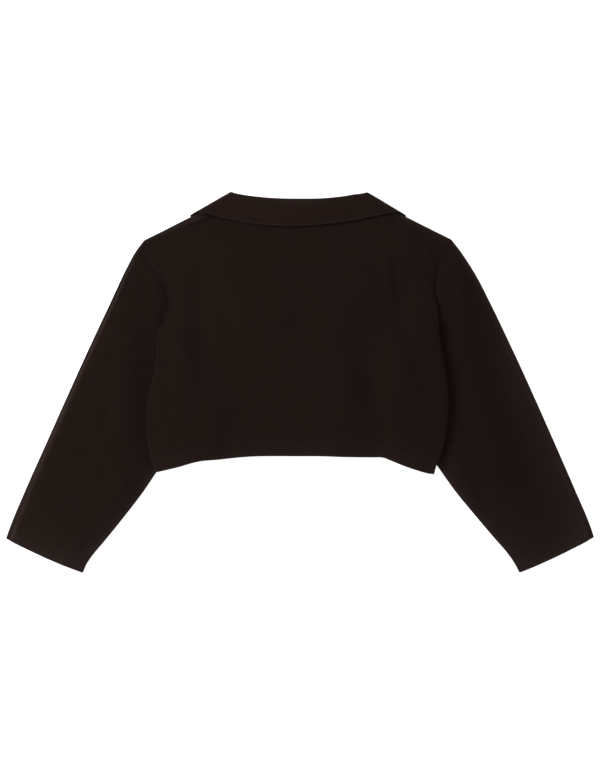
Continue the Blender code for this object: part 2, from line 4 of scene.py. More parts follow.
import bpy
import numpy as np
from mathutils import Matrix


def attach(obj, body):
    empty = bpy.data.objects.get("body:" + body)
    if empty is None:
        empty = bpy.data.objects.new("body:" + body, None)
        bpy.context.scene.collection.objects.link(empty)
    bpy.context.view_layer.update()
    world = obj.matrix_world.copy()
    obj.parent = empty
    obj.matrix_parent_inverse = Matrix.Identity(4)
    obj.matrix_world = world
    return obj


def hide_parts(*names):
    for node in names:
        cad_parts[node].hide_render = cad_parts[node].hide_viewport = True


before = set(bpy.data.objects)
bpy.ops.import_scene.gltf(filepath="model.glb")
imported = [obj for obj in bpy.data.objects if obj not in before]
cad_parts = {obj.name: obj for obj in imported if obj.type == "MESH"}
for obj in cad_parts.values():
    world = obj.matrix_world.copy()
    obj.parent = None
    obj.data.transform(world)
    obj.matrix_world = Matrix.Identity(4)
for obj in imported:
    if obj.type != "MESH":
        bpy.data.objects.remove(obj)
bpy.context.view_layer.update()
millimetre = 0.001
upward = np.array((0.0, 0.0, 1.0))

# the cloth, in millimetres
cloth = {
    "ply": 1.5,
    "collarPlies": 2.0,
    "seam": 0.3,  # between two layers that are sewn together
    "slack": 0.6,  # between the collar's stand and its fall
    "hemDepth": 25.0,
    "cuffDepth": 28.0,
    "ledge": 1.5,  # the turned ply fades out over this length
    "mostLoft": 6.0,
    "liftShare": 0.4,  # most of the loft above them that the folds of a lower layer take
    "rimRows": 5,  # rows of points round a rim
    "rimClear": 2.4,  # from an edge to the first row of points past its rim
    "groove": (0.8, 0.3),  # width and depth of the groove that a row of stitches draws
    "foldEnd": 0.55,  # share of its width and height that a fold keeps at its ends
    "foldBell": 2.6,  # how fast a fold falls away to its sides
    "waves": 14,  # sines in each unevenness
}

# A pair is the way out from the centre line and y; an edge is rows of y and the way out.
halves = {
    "left": {
        "sign": -1,
        "neckPoint": (125.1, 256.2),
        "shoulderTip": (225.4, 206.3),
        "shoulderWrap": 16.0,  # how far the front reaches over the shoulder at the neck
        "hemCorner": (207.0, -128.7),
        "underarm": (152.6, -55.5),
        "lastSewnLevel": 0.6,  # the armhole is sewn to the body down to here
        "side": ((-128.7, 207.0), (-110.6, 214.5), (-84.5, 219.4), (-41.0, 220.6), (-13.0, 217.0),
                 (7.0, 211.8), (30.0, 207.6), (50.0, 206.6), (69.0, 206.0), (91.0, 200.6),
                 (115.6, 194.7), (132.3, 198.3), (163.5, 212.1), (191.0, 225.0), (206.3, 224.0)),
        "sleeveOuter": ((-226.3, 426.1), (-211.3, 420.9), (-159.1, 399.3), (-89.5, 368.4), (49.7, 305.7),
                        (119.3, 273.1), (162.8, 252.7), (188.9, 238.5), (206.3, 225.4)),
        "sleeveInner": ((-275.9, 314.6), (-263.6, 309.4), (-251.2, 301.1), (-228.7, 282.4),
                        (-193.9, 254.3), (-159.1, 227.6), (-128.7, 207.0), (-55.5, 152.6)),
        "collarEnd": (147.5, 248.8),
        "collarCorner": (101.4, 275.7),
    },
    "right": {
        "sign": 1,
        "neckPoint": (124.3, 254.0),
        "shoulderTip": (218.4, 207.8),
        "shoulderWrap": 6.0,
        "hemCorner": (193.9, -132.3),
        "underarm": (150.5, -55.5),
        "lastSewnLevel": 0.7,
        "side": ((-132.3, 193.9), (-118.7, 197.6), (-96.1, 205.8), (-51.8, 213.6), (-17.8, 214.6),
                 (15.6, 210.6), (59.8, 202.8), (109.8, 199.0), (141.7, 196.8), (175.1, 202.6),
                 (206.3, 217.0)),
        "sleeveOuter": ((-224.5, 426.1), (-211.3, 421.9), (-159.1, 400.0), (-89.5, 369.7), (49.7, 306.7),
                        (119.3, 273.1), (145.4, 259.8), (171.5, 244.1), (188.9, 232.2), (206.3, 218.4)),
        "sleeveInner": ((-275.9, 317.9), (-263.5, 311.5), (-246.1, 299.4), (-228.7, 284.3),
                        (-193.9, 254.7), (-159.1, 226.0), (-120.0, 198.3), (-55.5, 150.5)),
        "collarEnd": (142.0, 248.5),
        "collarCorner": (98.9, 275.0),
    },
}


# from 0 to 1 with a level start and end: 3t^2 - 2t^3
def ease(t):
    t = np.clip(t, 0.0, 1.0)
    return t * t * (3 - 2 * t)


# 0 up to a start, then eased to 1 over a length; with a length below 0 it runs the other way from the start
def ramp(value, start, length):
    return ease((value - start) / length)


# start + (end - start) t
def mix(start, end, t):
    return start + (end - start) * t


# an amount times e to the power -(distance / width)^2
def bell(distance, width, amount=1.0):
    return amount * np.exp(-(distance / width) ** 2)


# an amount times e to the power -distance / length
def fade(distance, length, amount=1.0):
    return amount * np.exp(-distance / length)


# vectors divided by their lengths
def unit(vectors):
    return vectors / np.maximum(np.linalg.norm(vectors, axis=-1, keepdims=True), 1e-9)


# length along rows of points up to each of them: the sum of the steps before it
def lengthAlong(points):
    steps = np.linalg.norm(np.diff(points, axis=0), axis=-1)
    return np.concatenate((np.zeros((1,) + steps.shape[1:]), np.cumsum(steps, axis=0)))


# a line's points or normals at other lengths along it, straight between its own
def pointsAt(line, lengths, at):
    return np.stack([np.interp(at, lengths, line[:, k]) for k in range(3)], axis=-1)


# a cubic through the rows (place, value), whose slope at each row is the mean of its neighbours'
def through(rows, at):
    places, values = np.array(sorted(rows)).T
    slopes = np.gradient(values, places)
    at = np.clip(at, places[0], places[-1])
    span = np.clip(np.searchsorted(places, at, side="right") - 1, 0, len(places) - 2)
    length = places[span + 1] - places[span]
    t = (at - places[span]) / length
    rise = values[span + 1] - values[span]
    cubic = slopes[span] + slopes[span + 1] - 2 * rise / length
    square = 3 * rise / length - 2 * slopes[span] - slopes[span + 1]
    return values[span] + length * t * (slopes[span] + t * (square + t * cubic))


# the shortest plan distance from x, y to a line of straight pieces
def distanceTo(x, y, line):
    nearest = np.full(np.shape(x), np.inf)
    for (ax, ay), (bx, by) in zip(line[:-1], line[1:]):
        t = ((x - ax) * (bx - ax) + (y - ay) * (by - ay)) / ((bx - ax) ** 2 + (by - ay) ** 2)
        t = np.clip(t, 0, 1)
        nearest = np.minimum(nearest, np.hypot(x - mix(ax, bx, t), y - mix(ay, by, t)))
    return nearest


# odd count of polygon sides crossed on the way to the far right
def inside(x, y, corners):
    crossed = np.zeros(np.shape(x), dtype=int)
    for (ax, ay), (bx, by) in zip(corners, corners[1:] + corners[:1]):
        if ay != by:
            beyond = x < ax + (y - ay) * (bx - ax) / (by - ay)
            crossed += ((ay > y) != (by > y)) & beyond
    return crossed % 2 == 1


# Sum over rows (x and y of the start, x and y of the end, bow, width, lean, height) of the height times a
# bell of the distance across a bowed line. On the line's left, seen from its start, a fold is lean times as
# wide, and it is narrower and shallower towards its two ends.
def foldHeights(x, y, folds):
    total = np.zeros(np.shape(x))
    for startX, startY, endX, endY, bow, width, lean, height in folds:
        fromStart = np.stack((x - startX, y - startY), axis=-1)
        run = np.array((endX - startX, endY - startY), dtype=float)
        length = np.hypot(*run)
        along = fromStart @ run / length ** 2
        t = np.clip(along, 0, 1)
        offset = fromStart @ np.array((-run[1], run[0])) / length - bow * 4 * t * (1 - t)
        leaning = np.where(offset > 0, lean, 1.0) * width
        thin = mix(cloth["foldEnd"], 1.0, np.sin(np.pi * t))
        across = np.hypot(offset / leaning, (along - t) * length / width) / thin
        total += height * thin * np.exp(-cloth["foldBell"] * across ** 2)
    return total


# soft uneven lie of the cloth: height times a sum of sines of x and y, each with its own direction, start
# and length, over the root of their count
def unevenness(x, y, seed, shortest, longest, height):
    draw = np.random.default_rng(seed)
    total = np.zeros(np.shape(x))
    for wave in range(cloth["waves"]):
        turn, start = draw.uniform(0, 2 * np.pi), draw.uniform(0, 2 * np.pi)
        length = draw.uniform(shortest, longest)
        total += np.sin((x * np.cos(turn) + y * np.sin(turn)) * 2 * np.pi / length + start)
    return height * total / np.sqrt(cloth["waves"])


# lie of a layer: the sum of its folds and of each row of its unevenness
def lieOf(x, y, folds, uneven):
    total = foldHeights(x, y, folds)
    for row in uneven:
        total = total + unevenness(x, y, *row)
    return total


# plan point of a pair, (way out, y), of one half: x is the way out times the half's sign
def place(side, pair):
    return np.array((halves[side]["sign"] * pair[0], pair[1]))


# the same of one of the half's own named points
def point(side, name):
    return place(side, halves[side][name])


# Corners of the quads of a grid, as point numbers, row * columns + column, and as uv numbers.
# A closed grid joins its last column to its first, and has one column of uvs more than of points.
def gridQuads(rows, columns, closed=False, turned=False):
    cellColumns = columns if closed else columns - 1
    row, column = np.meshgrid(np.arange(rows - 1), np.arange(cellColumns), indexing="ij")
    row, column = row.ravel(), column.ravel()
    corners = ((0, 0), (0, 1), (1, 1), (1, 0))
    if turned:
        corners = (corners[0],) + corners[:0:-1]
    points = np.stack([(row + r) * columns + (column + c) % columns for r, c in corners], axis=1)
    uvs = np.stack([(row + r) * (cellColumns + 1) + column + c for r, c in corners], axis=1)
    return points, uvs


# a mesh object at the origin from points in millimetres, quads, a uv in millimetres at each of their
# corners, and a mask of wear and painted light at each point
def meshFrom(name, points, quads, cornerUvs, wearAndPaintedLight):
    mesh = bpy.data.meshes.new(name)
    mesh.vertices.add(len(points))
    mesh.vertices.foreach_set("co", (points * millimetre).astype(np.float32).ravel())
    mesh.loops.add(quads.size)
    mesh.loops.foreach_set("vertex_index", quads.astype(np.int32).ravel())
    mesh.polygons.add(len(quads))
    mesh.polygons.foreach_set("loop_start", np.arange(0, quads.size, 4, dtype=np.int32))
    mesh.polygons.foreach_set("use_smooth", np.ones(len(quads), dtype=bool))
    layer = mesh.uv_layers.new(name="grain")
    layer.data.foreach_set("uv", (cornerUvs * millimetre).astype(np.float32).ravel())
    wornAndLit = mesh.attributes.new("wearAndPaintedLight", "FLOAT", "POINT")
    wornAndLit.data.foreach_set("value", wearAndPaintedLight.astype(np.float32).ravel())
    mesh.update(calc_edges=True)
    mesh.validate()
    piece = bpy.data.objects.new(name, mesh)
    bpy.context.scene.collection.objects.link(piece)
    return piece


# A closed thin shell round a middle surface: one skin at middle + normal * over, one at middle - normal *
# under, and a half-round rim along every open edge, drawn in so that it ends where the middle surface did.
def shell(name, middle, normals, quads, uvCorners, uv, over, under, wearAndPaintedLight):
    over, under, wearAndPaintedLight = (np.broadcast_to(part, middle.shape[:2]).ravel() for part in (over, under, wearAndPaintedLight))
    used, quads = np.unique(quads, return_inverse=True)
    quads = quads.reshape(-1, 4)
    over, under, wearAndPaintedLight = over[used], under[used], wearAndPaintedLight[used]
    middle, normals = middle.reshape(-1, 3)[used], normals.reshape(-1, 3)[used]
    uv = uv.reshape(-1, 2)
    count, rimRows = len(used), cloth["rimRows"]

    start, end = quads.ravel(), np.roll(quads, -1, axis=1).ravel()
    atEdge = ~np.isin(start * count + end, end * count + start)
    startUv = uv[uvCorners.ravel()[atEdge]]
    endUv = uv[np.roll(uvCorners, -1, axis=1).ravel()[atEdge]]
    start, end = start[atEdge], end[atEdge]
    edgeOut = np.cross(unit(middle[end] - middle[start]), normals[start])
    outward = np.zeros((count, 3))
    np.add.at(outward, start, edgeOut)
    np.add.at(outward, end, edgeOut)
    rim = np.unique(start)
    outward = unit(outward[rim])

    radius = (over[rim] + under[rim])[:, None] / 2
    drift = (over[rim] - under[rim])[:, None] / 2
    middle[rim] -= outward * radius
    centre = middle[rim] + normals[rim] * drift
    angles = np.linspace(np.pi / 2, -np.pi / 2, rimRows + 2)[1:-1, None, None]
    arc = centre + radius * (outward * np.cos(angles) + normals[rim] * np.sin(angles))
    skins = middle + normals * over[:, None], middle - normals * under[:, None]
    points = np.concatenate(skins + (arc.reshape(-1, 3),))

    # the rim's quads climb from the upper skin, by the rows of the arc, to the lower one
    ladders = [[ends] + [2 * count + k * len(rim) + np.searchsorted(rim, ends) for k in range(rimRows)]
               + [ends + count] for ends in (start, end)]
    strips = [np.stack((ladders[1][k], ladders[0][k], ladders[0][k + 1], ladders[1][k + 1]), axis=1)
              for k in range(rimRows + 1)]
    flipped = (0, 3, 2, 1)
    allQuads = np.concatenate([quads, quads[:, flipped] + count] + strips)
    stripUv = np.stack((endUv, startUv, startUv, endUv), axis=1)
    allUv = np.concatenate([uv[uvCorners], uv[uvCorners[:, flipped]]] + [stripUv] * len(strips))
    allWearAndPaintedLight = np.concatenate((wearAndPaintedLight, wearAndPaintedLight, np.tile(wearAndPaintedLight[rim], rimRows)))
    return meshFrom(name, points, allQuads, allUv.reshape(-1, 2), allWearAndPaintedLight)


body = {
    "centreBackNeck": 238.9,
    "centreFrontNeck": 168.0,
    "wrapAtTip": 4.2,  # how far the front reaches over the shoulder at its tip
    "wrapOut": (0.33, 0.66),  # rows of points on the way out to the shoulder's fold, round it and back
    "wrapTurns": 11,
    "wrapBack": (0.55, 0.0),
    "neckColumns": 42,
    "shoulderColumns": 26,
    "hemRows": 26,
    "hemRowsEnd": 1.1,  # in hem depths
    "rows": 104,
    "hemLine": ((-207, -129.9), (-193, -126.6), (-179.4, -123.4), (-144.6, -114.2), (-119.3, -112),
                (-92.4, -109), (-66.8, -107.2), (-40, -106.7), (-5.4, -106.8), (30, -106.9), (64.2, -108),
                (89.5, -108.4), (108, -108.5), (117, -108.5), (122, -109.2), (127, -111.2), (133, -113.8),
                (150.4, -120.9), (167.8, -126.8), (176.5, -129.5), (185, -131.6), (193.9, -132.8)),
    "stitchLines": (20.0, 23.5),  # two needle rows above the hem's edge

    # loft across the back, out from its middle: x, loft
    "loftAcross": ((-222, 1.3), (-150, 1.9), (-50, 3.1), (60, 3.7), (130, 2.7), (222, 1.5)),
    "sideRamp": 36.0,
    "armholeRamp": {"left": 21.0, "right": 26.0},  # the shorter rise beside the sewn armhole
    "armholeBand": (60.0, 150.0, 30.0),  # between these y, with the ramp at both ends
    "topRamp": 45.0,
    "neckStrip": 35.0,  # flat cloth below the neck, and below the shoulder's tip
    "shoulderStrip": 8.0,
    "hemEnd": 1.05,  # in hem depths; the lengths that follow are in this one
    "hemRelease": 1.6,  # the loft lets go of the hem over this length
    "turnRelease": 0.35,
    "hemLie": (0.9, 0.6),  # folds are shallower in the hem: start and length of the way out of it
    "hemLieShare": 0.3,
    "lieRamps": (20.0, 30.0), # they start at the sides and at the top over these lengths
    "pressWidth": 26.0,  # the turned hem thins out over this width to the side seams
    "pressShare": 0.5,

    # stand of the fronts on the sleeves and the collar's ends
    "offSleeve": {"left": 1.2, "right": 2.6},
    "offHem": 0.5,
    "offHemRamp": (-100.0, 70.0),  # y where the stand grows from the one to the other, and its length
    "offSeam": 0.05,
    "seamRamps": (30.0, 24.0),  # way onto the sleeve at the sewn part's lower end, and off it
    "liftMargin": 22.0,
    "liftRamp": 45.0,

    # the fronts' neck, which the columns fan out to from this level
    "frontNeckFan": 0.42,
    "uprightColumns": 9.0,
    "centreGap": 0.06,
    "seamOut": 0.7,  # share of the shoulder seam's gap from its edge to its thread
    "seamSunk": (-0.4, 0.1),  # the thread is sunk at the neck and level with the cloth at the tip

    # valleys and ridges of the back
    "folds": (
        (80, 110, 108, -46, -4, 23, 2.6, -1.8),
        (97, 10, 110, -104, -2, 26, 2.2, -1.5),
        (106, -36, 120, -100, 7, 6, 2, -1.2),
        (136, 188, 181, -20, -8, 14, 4, -2.4),
        (-146, 176, -147, -52, 2, 21, 2.2, -1.4),
        (-84, -38, -99, -58, 0, 7, 1.6, -0.6),
        (100, 200, 110, 146, 2, 26, 1.5, -1.6),
        (152, 208, 158, 168, 2, 24, 1, 0.9),
        (184, 212, 190, 164, 3, 22, 0.8, 2.1),
        (112, 20, 138, -66, -2, 16, 1, 0.9),
        (-196, -80, -176, -96, 2, 8, 1, -1),
        (-62, 205, -40, 120, -8, 28, 1, -0.6),
        (-130, 150, -122, 30, 4, 20, 1, 0.6),
        (-10, 150, 14, 20, 6, 30, 1, -0.5),
        (-182, 60, -188, -60, -3, 12, 1, -0.7),
        (16, -60, 22, -100, 0, 9, 1, -0.5),
        (-66, -70, -72, -104, 0, 8, 1, -0.5),
    ),
    "frontFolds": (
        (-70, 60, -96, -84, 6, 18, 1, 1.2),
        (-20, 20, -34, -70, -4, 14, 1, 0.8),
        (64, 70, 92, -80, -6, 18, 1, 1.1),
        (24, 40, 36, -60, 3, 14, 1, 0.8),
        (150, 140, 128, 20, 5, 16, 1, 0.9),
        (-150, 150, -130, 30, -5, 16, 1, 0.9),
    ),
    "uneven": ((12, 40, 110, 0.05), (9, 12, 30, 0.035)),  # seed, shortest and longest wave, height
    # short soft waves in the turned hem: x, width, height
    "hemWaves": ((-151, 8, -0.8), (-100, 9, -0.7), (-70, 8, -0.7), (18, 9, -0.8), (79, 8, -0.7),
                 (121, 8, -1), (-128, 9, 0.6), (-86, 7, 0.5), (-15, 12, 0.5), (48, 10, 0.6),
                 (100, 8, 0.5), (160, 12, 0.5)),

    # painted light and shade in streaks, lighter above 0 and darker below, in the columns of a fold
    "paintedLightStreaks": (
        (84, 60, 100, -100, -3, 24, 1, -0.24),
        (190, 150, 184, -60, 4, 60, 1, -0.17),
        (134, 140, 160, -10, -4, 22, 1, -0.16),
        (104, 10, 112, -86, 2, 16, 1, -0.17),
        (-158, 176, -158, -52, 0, 16, 1, -0.10),
        (-190, 40, -160, -60, 0, 50, 1, -0.06),
        (196, 196, 206, 160, 0, 22, 1, -0.16),
        (118, 214, 160, 196, 0, 22, 1, 0.09),
    ),
    # width and amount of each edge's wear and painted highlight, or of its painted shade where that is
    # below 0
    "wearAndPaintedLight": {
        "hem": (5.0, 0.6),
        "leftSide": (2.5, 0.1),
        "rightSide": (6.5, -0.55),
        "rightShoulder": (5.0, 0.7),
        "leftShoulder": (3.5, -0.55),
        "underCollar": (3.0, -0.5),
        "onSleeve": (6.0, -0.95),
        "frontHem": (2.5, 1.0),
        "wrapUnderCollar": (2.3, -1.5),
    },
    "turnedHemLighter": (0.2, 12.0, 26.0),  # how much lighter the turned hem is, its depth, and its ramp
    "aboveHem": (0.05, 0.2),  # levels between which the sides' wear starts
    "sideFade": 0.08,  # it ends this far below the end of the sewn part
    "armholeFade": 0.05,  # and the armhole's shade starts this far above it
    "belowTip": (0.9, -0.1),
    "seamInset": 4.0,  # from the shoulder seam to the fold that is worn
    # the front's fold over the shoulder is lighter: wear and painted highlight
    "wrapWearAndHighlight": 0.8,
    "leftSeamShade": 1.4,
    "leftSeam": (-205.0, 70.0),  # x where the left shoulder seam's shade starts, and its ramp
    "leftSeamEnd": (-110.0, -10.0),
    "rightSeam": (130.0, 20.0),
    "collarShade": (20.0, -150.0),
}
body["height"] = body["centreBackNeck"] - through(body["hemLine"], 0.0)
body["hemLevel"] = cloth["hemDepth"] / body["height"]


# plan directions of a shoulder: run, the unit vector from neck to tip, and over, square to it
def shoulderDirections(side):
    run = unit(point(side, "shoulderTip") - point(side, "neckPoint"))
    over = np.array((-run[1], run[0]))
    return run, over * np.sign(over[1])


# the shoulder seam's two ends: neck point and tip, less a wrap's width of the way over the fold
def shoulderSeam(side):
    over = shoulderDirections(side)[1]
    return (point(side, "neckPoint") - over * halves[side]["shoulderWrap"],
            point(side, "shoulderTip") - over * body["wrapAtTip"])


# x of the body's side at a level between the hem, 0, and the shoulder, 1, with its y
def bodySide(side, level):
    corner, tip = point(side, "hemCorner"), shoulderSeam(side)[1]
    y = mix(corner[1], tip[1], level)
    x = halves[side]["sign"] * through(halves[side]["side"], y)
    return np.where(level >= 1, tip[0], x), y


# the point of the body's side where the sewn part of the armhole ends
def sewnEnd(side):
    x, y = bodySide(side, np.array(halves[side]["lastSewnLevel"]))
    return np.array((float(x), float(y)))


# levels of the mesh rows: close together in the turned hem, the first one clear of the rim
def bodyLevels():
    hemTop = body["hemLevel"] * body["hemRowsEnd"]
    hem = np.linspace(cloth["rimClear"] / body["height"], hemTop, body["hemRows"] + 2)
    return np.concatenate(([0.0], hem, np.linspace(hemTop, 1.0, body["rows"])[1:]))


# plan points of half the body: straight from hem to top, plus the side's bow times the square of the share
# of the way across
def halfBody(side, level):
    neck, tip = shoulderSeam(side)
    neckX = np.linspace(0.0, neck[0], body["neckColumns"] + 1)
    neckY = mix(body["centreBackNeck"], neck[1], (neckX / neck[0]) ** 2)
    shoulder = np.linspace(neck, tip, body["shoulderColumns"] + 1)[1:]
    topX = np.concatenate((neckX, shoulder[:, 0]))
    topY = np.concatenate((neckY, shoulder[:, 1]))
    share = topX / tip[0]
    corner = point(side, "hemCorner")
    hemX = corner[0] * share
    level = level[:, None]
    pull = bodySide(side, level)[0] - mix(corner[0], tip[0], level)
    x = mix(hemX, topX, level) + pull * share ** 2
    return np.stack((x, mix(through(body["hemLine"], hemX), topY, level)), axis=-1)


# plan of the whole body: its left half turned round, then its right half without the shared middle column
def bodyPlan():
    level = bodyLevels()
    return np.concatenate((halfBody("left", level)[:, ::-1], halfBody("right", level)[:, 1:]), axis=1)


# height times 1 over a polygon and its margin, eased down to 0 past them
def raised(x, y, corners, height):
    away = np.where(inside(x, y, corners), 0.0, distanceTo(x, y, corners + corners[:1]))
    return height * (1 - ramp(away, body["liftMargin"], body["liftRamp"]))


# height of the fronts' lower face: the highest of the floor, the collar's front fall and the two sleeves,
# each raised over the outline that it hides
def bodyFloor(x, y):
    left, right = ([point(side, "collarCorner"), point(side, "collarEnd"), place(side, collar["tip"])]
                   for side in halves)
    outline = left + [np.array((0.0, body["centreFrontNeck"]))] + right[::-1]
    lifts = [raised(x, y, outline, collar["lift"])]
    tube = 2 * cloth["ply"] + cloth["seam"]
    onSeam = tube + body["offSeam"]
    onto, off = body["seamRamps"]
    for side in halves:
        height = mix(tube + body["offHem"], tube + body["offSleeve"][side], ramp(y, *body["offHemRamp"]))
        end = sewnEnd(side)
        height = onSeam * ramp(y, end[1] + onto, -onto) + (height - onSeam) * ramp(y, end[1], -off)
        hidden = [end, point(side, "underarm"), point(side, "hemCorner")]
        lifts.append(raised(x, y, hidden, height))
    return np.maximum.reduce(lifts)


# distance across from the body's nearer side
def fromSides(plan):
    x = plan[..., 0]
    return np.abs(np.where(x < 0, plan[:, :1, 0], plan[:, -1:, 0]) - x)


# share of its full thickness that the turned hem keeps: least at the side seams, eased to 1
def sidePress(plan):
    return mix(body["pressShare"], 1.0, ease(fromSides(plan) / body["pressWidth"]))


# Stand of the back off the fronts: low at sides, shoulders and neck and full between them, a product of
# ramps, plus the lie of the cloth. In the turned hem it is no lower than the turned plies and their waves.
def bodyLoft(plan):
    x, y = plan[..., 0], plan[..., 1]
    fromSide, fromTop = fromSides(plan), plan[-1, :, 1] - y
    column = np.arange(plan.shape[1])
    fromNeck = np.maximum(np.abs(column - column.mean()) - body["neckColumns"], 0) / body["shoulderColumns"]
    atTop = mix(collar["neckLoft"], cloth["seam"], fromNeck)
    strip = mix(body["neckStrip"], body["shoulderStrip"], ease(2 * fromNeck))
    beside = np.where(x < 0, body["armholeRamp"]["left"], body["armholeRamp"]["right"])
    low, high, length = body["armholeBand"]
    sideRamp = mix(body["sideRamp"], beside, ramp(y, low, length) * (1 - ramp(y, high, length)))
    full = through(body["loftAcross"], x)
    loft = mix(atTop, full, ramp(fromTop, strip, body["topRamp"])) * ease(fromSide / sideRamp)
    level = bodyLevels()[:, None]
    hemEnd = body["hemLevel"] * body["hemEnd"]
    turned = 2 * cloth["ply"] * sidePress(plan)
    loft = np.maximum(loft, turned * (1 - ramp(level, hemEnd, body["hemRelease"] * hemEnd)))
    outOfHem, length = body["hemLie"]
    lie = lieOf(x, y, body["folds"], body["uneven"])
    lie = lie * mix(body["hemLieShare"], 1.0, ramp(level, outOfHem * hemEnd, length * hemEnd))
    sideStart, topStart = body["lieRamps"]
    loft = loft + lie * ease(fromSide / sideStart) * ease(fromTop / topStart)
    turned = turned * (1 - ramp(level, hemEnd, body["turnRelease"] * hemEnd))
    for at, width, height in body["hemWaves"]:
        turned = turned + bell(x - at, width, height) * ease(2 - level / hemEnd)
    return np.maximum(np.clip(loft, 0.0, cloth["mostLoft"]), turned)


# unit normals of a height surface, facing up, 1, or down, -1: the cross product of its steps along rows
# and columns
def gridNormals(middle, facing):
    normal = unit(np.cross(np.gradient(middle, axis=1), np.gradient(middle, axis=0)))
    return normal * np.sign(normal[..., 2:]) * facing


# depth of the grooves that rows of stitches draw: the sum of a bell round each one
def stitchGroove(distance, lines):
    return sum(bell(distance - line, *cloth["groove"]) for line in lines)


# 1 inside the turned hem, eased to 0 over the ledge
def inHem(level):
    return 1 - ease((level - body["hemLevel"]) * body["height"] / cloth["ledge"])


# how far the body's two skins lie off its middle: over, half a ply less the grooves, and under, half a ply
# plus the turned one
def bodySkins(level, press):
    over = cloth["ply"] / 2 - stitchGroove(level * body["height"], body["stitchLines"])
    return over, cloth["ply"] / 2 + cloth["ply"] * inHem(level) * press


# Wear and painted light of the back: a sum of a fade from the hem, bells from the sides, the shoulder
# seams and the collar's edge, each held to its own stretch by ramps, and painted streaks. Above 0 it is
# wear and painted highlight, below 0 painted shade.
def backWearAndPaintedLight(plan, level):
    x, y = plan[..., 0], plan[..., 1]
    edges = body["wearAndPaintedLight"]
    fromHem, fromSide = level * body["height"], fromSides(plan)
    sewn = np.where(x < 0, halves["left"]["lastSewnLevel"], halves["right"]["lastSewnLevel"])
    # wear and painted highlight at the hem's edge, and a lighter turned hem
    amount, depth, length = body["turnedHemLighter"]
    wearAndPaintedLight = fade(fromHem, *edges["hem"]) + amount * (1 - ramp(fromHem, depth, length))
    # painted highlight on the left side's rim, painted shade on the right one
    rim = np.where(x < 0, fade(fromSide, *edges["leftSide"]), bell(fromSide, *edges["rightSide"]))
    wearAndPaintedLight = wearAndPaintedLight + rim * ramp(level, sewn, -body["sideFade"]) * ramp(level, *body["aboveHem"])
    fromSeam = y[-1:] - y
    # painted highlight below the right shoulder seam, painted shade along the left one
    wearAndPaintedLight = wearAndPaintedLight + fade(fromSeam + body["seamInset"], *edges["rightShoulder"]) * ramp(x, *body["rightSeam"])
    shade = bell(fromSeam, *edges["leftShoulder"]) * ramp(x, *body["leftSeam"])
    wearAndPaintedLight = wearAndPaintedLight + shade * ramp(x, *body["leftSeamEnd"])
    # painted light and shade in streaks
    wearAndPaintedLight = wearAndPaintedLight + foldHeights(x, y, body["paintedLightStreaks"])
    # painted shade under the collar's edge
    fromCollar = distanceTo(x, y, collar["underEdge"])
    wearAndPaintedLight = wearAndPaintedLight + bell(fromCollar, *edges["underCollar"]) * ramp(x, *body["collarShade"])
    # painted shade at the sides beside the sewn armhole, up to below the tip
    shade = bell(fromSide, *edges["onSleeve"]) * ramp(level, sewn, body["armholeFade"])
    return wearAndPaintedLight + shade * ramp(level, *body["belowTip"])


# the back: its middle is the fronts' floor, a ply, a seam, the loft and half a ply high
def makeBack(plan, loft, press):
    height = bodyFloor(plan[..., 0], plan[..., 1]) + cloth["ply"] + cloth["seam"] + loft + cloth["ply"] / 2
    middle = np.append(plan, height[..., None], axis=-1)
    normals = gridNormals(middle, 1)
    level = bodyLevels()[:, None] * np.ones(len(plan[0]))
    over, under = bodySkins(level, press)
    quads, uvCorners = gridQuads(*level.shape)
    piece = shell("back_panel", middle, normals, quads, uvCorners, plan, over, under, backWearAndPaintedLight(plan, level))
    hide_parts("back")
    return piece, middle + normals * over[..., None], normals


# the front's neck seam: a quarter of an ellipse from the centre front up to the shoulder seam's end
def frontNeck(side, count):
    corner = shoulderSeam(side)[0]
    angle = np.linspace(np.pi / 2, 0.0, count)
    y = mix(corner[1], body["centreFrontNeck"], np.sin(angle))
    return np.stack((corner[0] * np.cos(angle), y), axis=-1)


# Rows that carry a front over its shoulder, seam + over * way out + up * way up: two out to the fold, half
# a turn round it, and two back to the seam above.
def shoulderWrapRows(side, seam, loft):
    over = np.append(shoulderDirections(side)[1], 0.0)
    share = np.clip((np.arange(len(seam)) - body["neckColumns"]) / body["shoulderColumns"], 0, 1)
    width = mix(halves[side]["shoulderWrap"], body["wrapAtTip"], share)[:, None]
    radius = (cloth["ply"] + cloth["seam"] + loft[:, None]) / 2
    reach = width - radius - cloth["ply"] / 2
    rows = [(seam + over * reach * t, -upward) for t in body["wrapOut"]]
    for angle in np.radians(np.linspace(-90, 90, body["wrapTurns"])):
        direction = over * np.cos(angle) + upward * np.sin(angle)
        rows.append((seam + over * reach + upward * radius + direction * radius, direction))
    rows += [(seam + over * mix(cloth["seam"], reach, t) + upward * 2 * radius, upward)
             for t in body["wrapBack"]]
    points, normals = zip(*rows)
    return np.array(points), np.array([np.broadcast_to(normal, seam.shape) for normal in normals])


# Plan of a front: half the body, whose upper columns move from the back's neck to the front's by their
# share of the way up. Those near the neck point stand upright on the way, a bell of the columns from it.
def frontPlan(side, plan):
    level = bodyLevels()
    points = plan.copy()
    fan = int(np.searchsorted(level, body["frontNeckFan"]))
    share = ((level[fan:] - level[fan]) / (1 - level[fan]))[:, None, None]
    neck = slice(0, body["neckColumns"] + 1)
    upright = bell(np.arange(len(plan[0])) - body["neckColumns"], body["uprightColumns"])
    points[fan:, :, 0] += (plan[-1, :, 0] - plan[fan:, :, 0]) * (upright * ease(2 * share[..., 0]))
    points[fan:, neck] += (frontNeck(side, body["neckColumns"] + 1) - plan[-1, neck]) * share
    points[:, 0, 0] = halves[side]["sign"] * body["centreGap"]
    return points


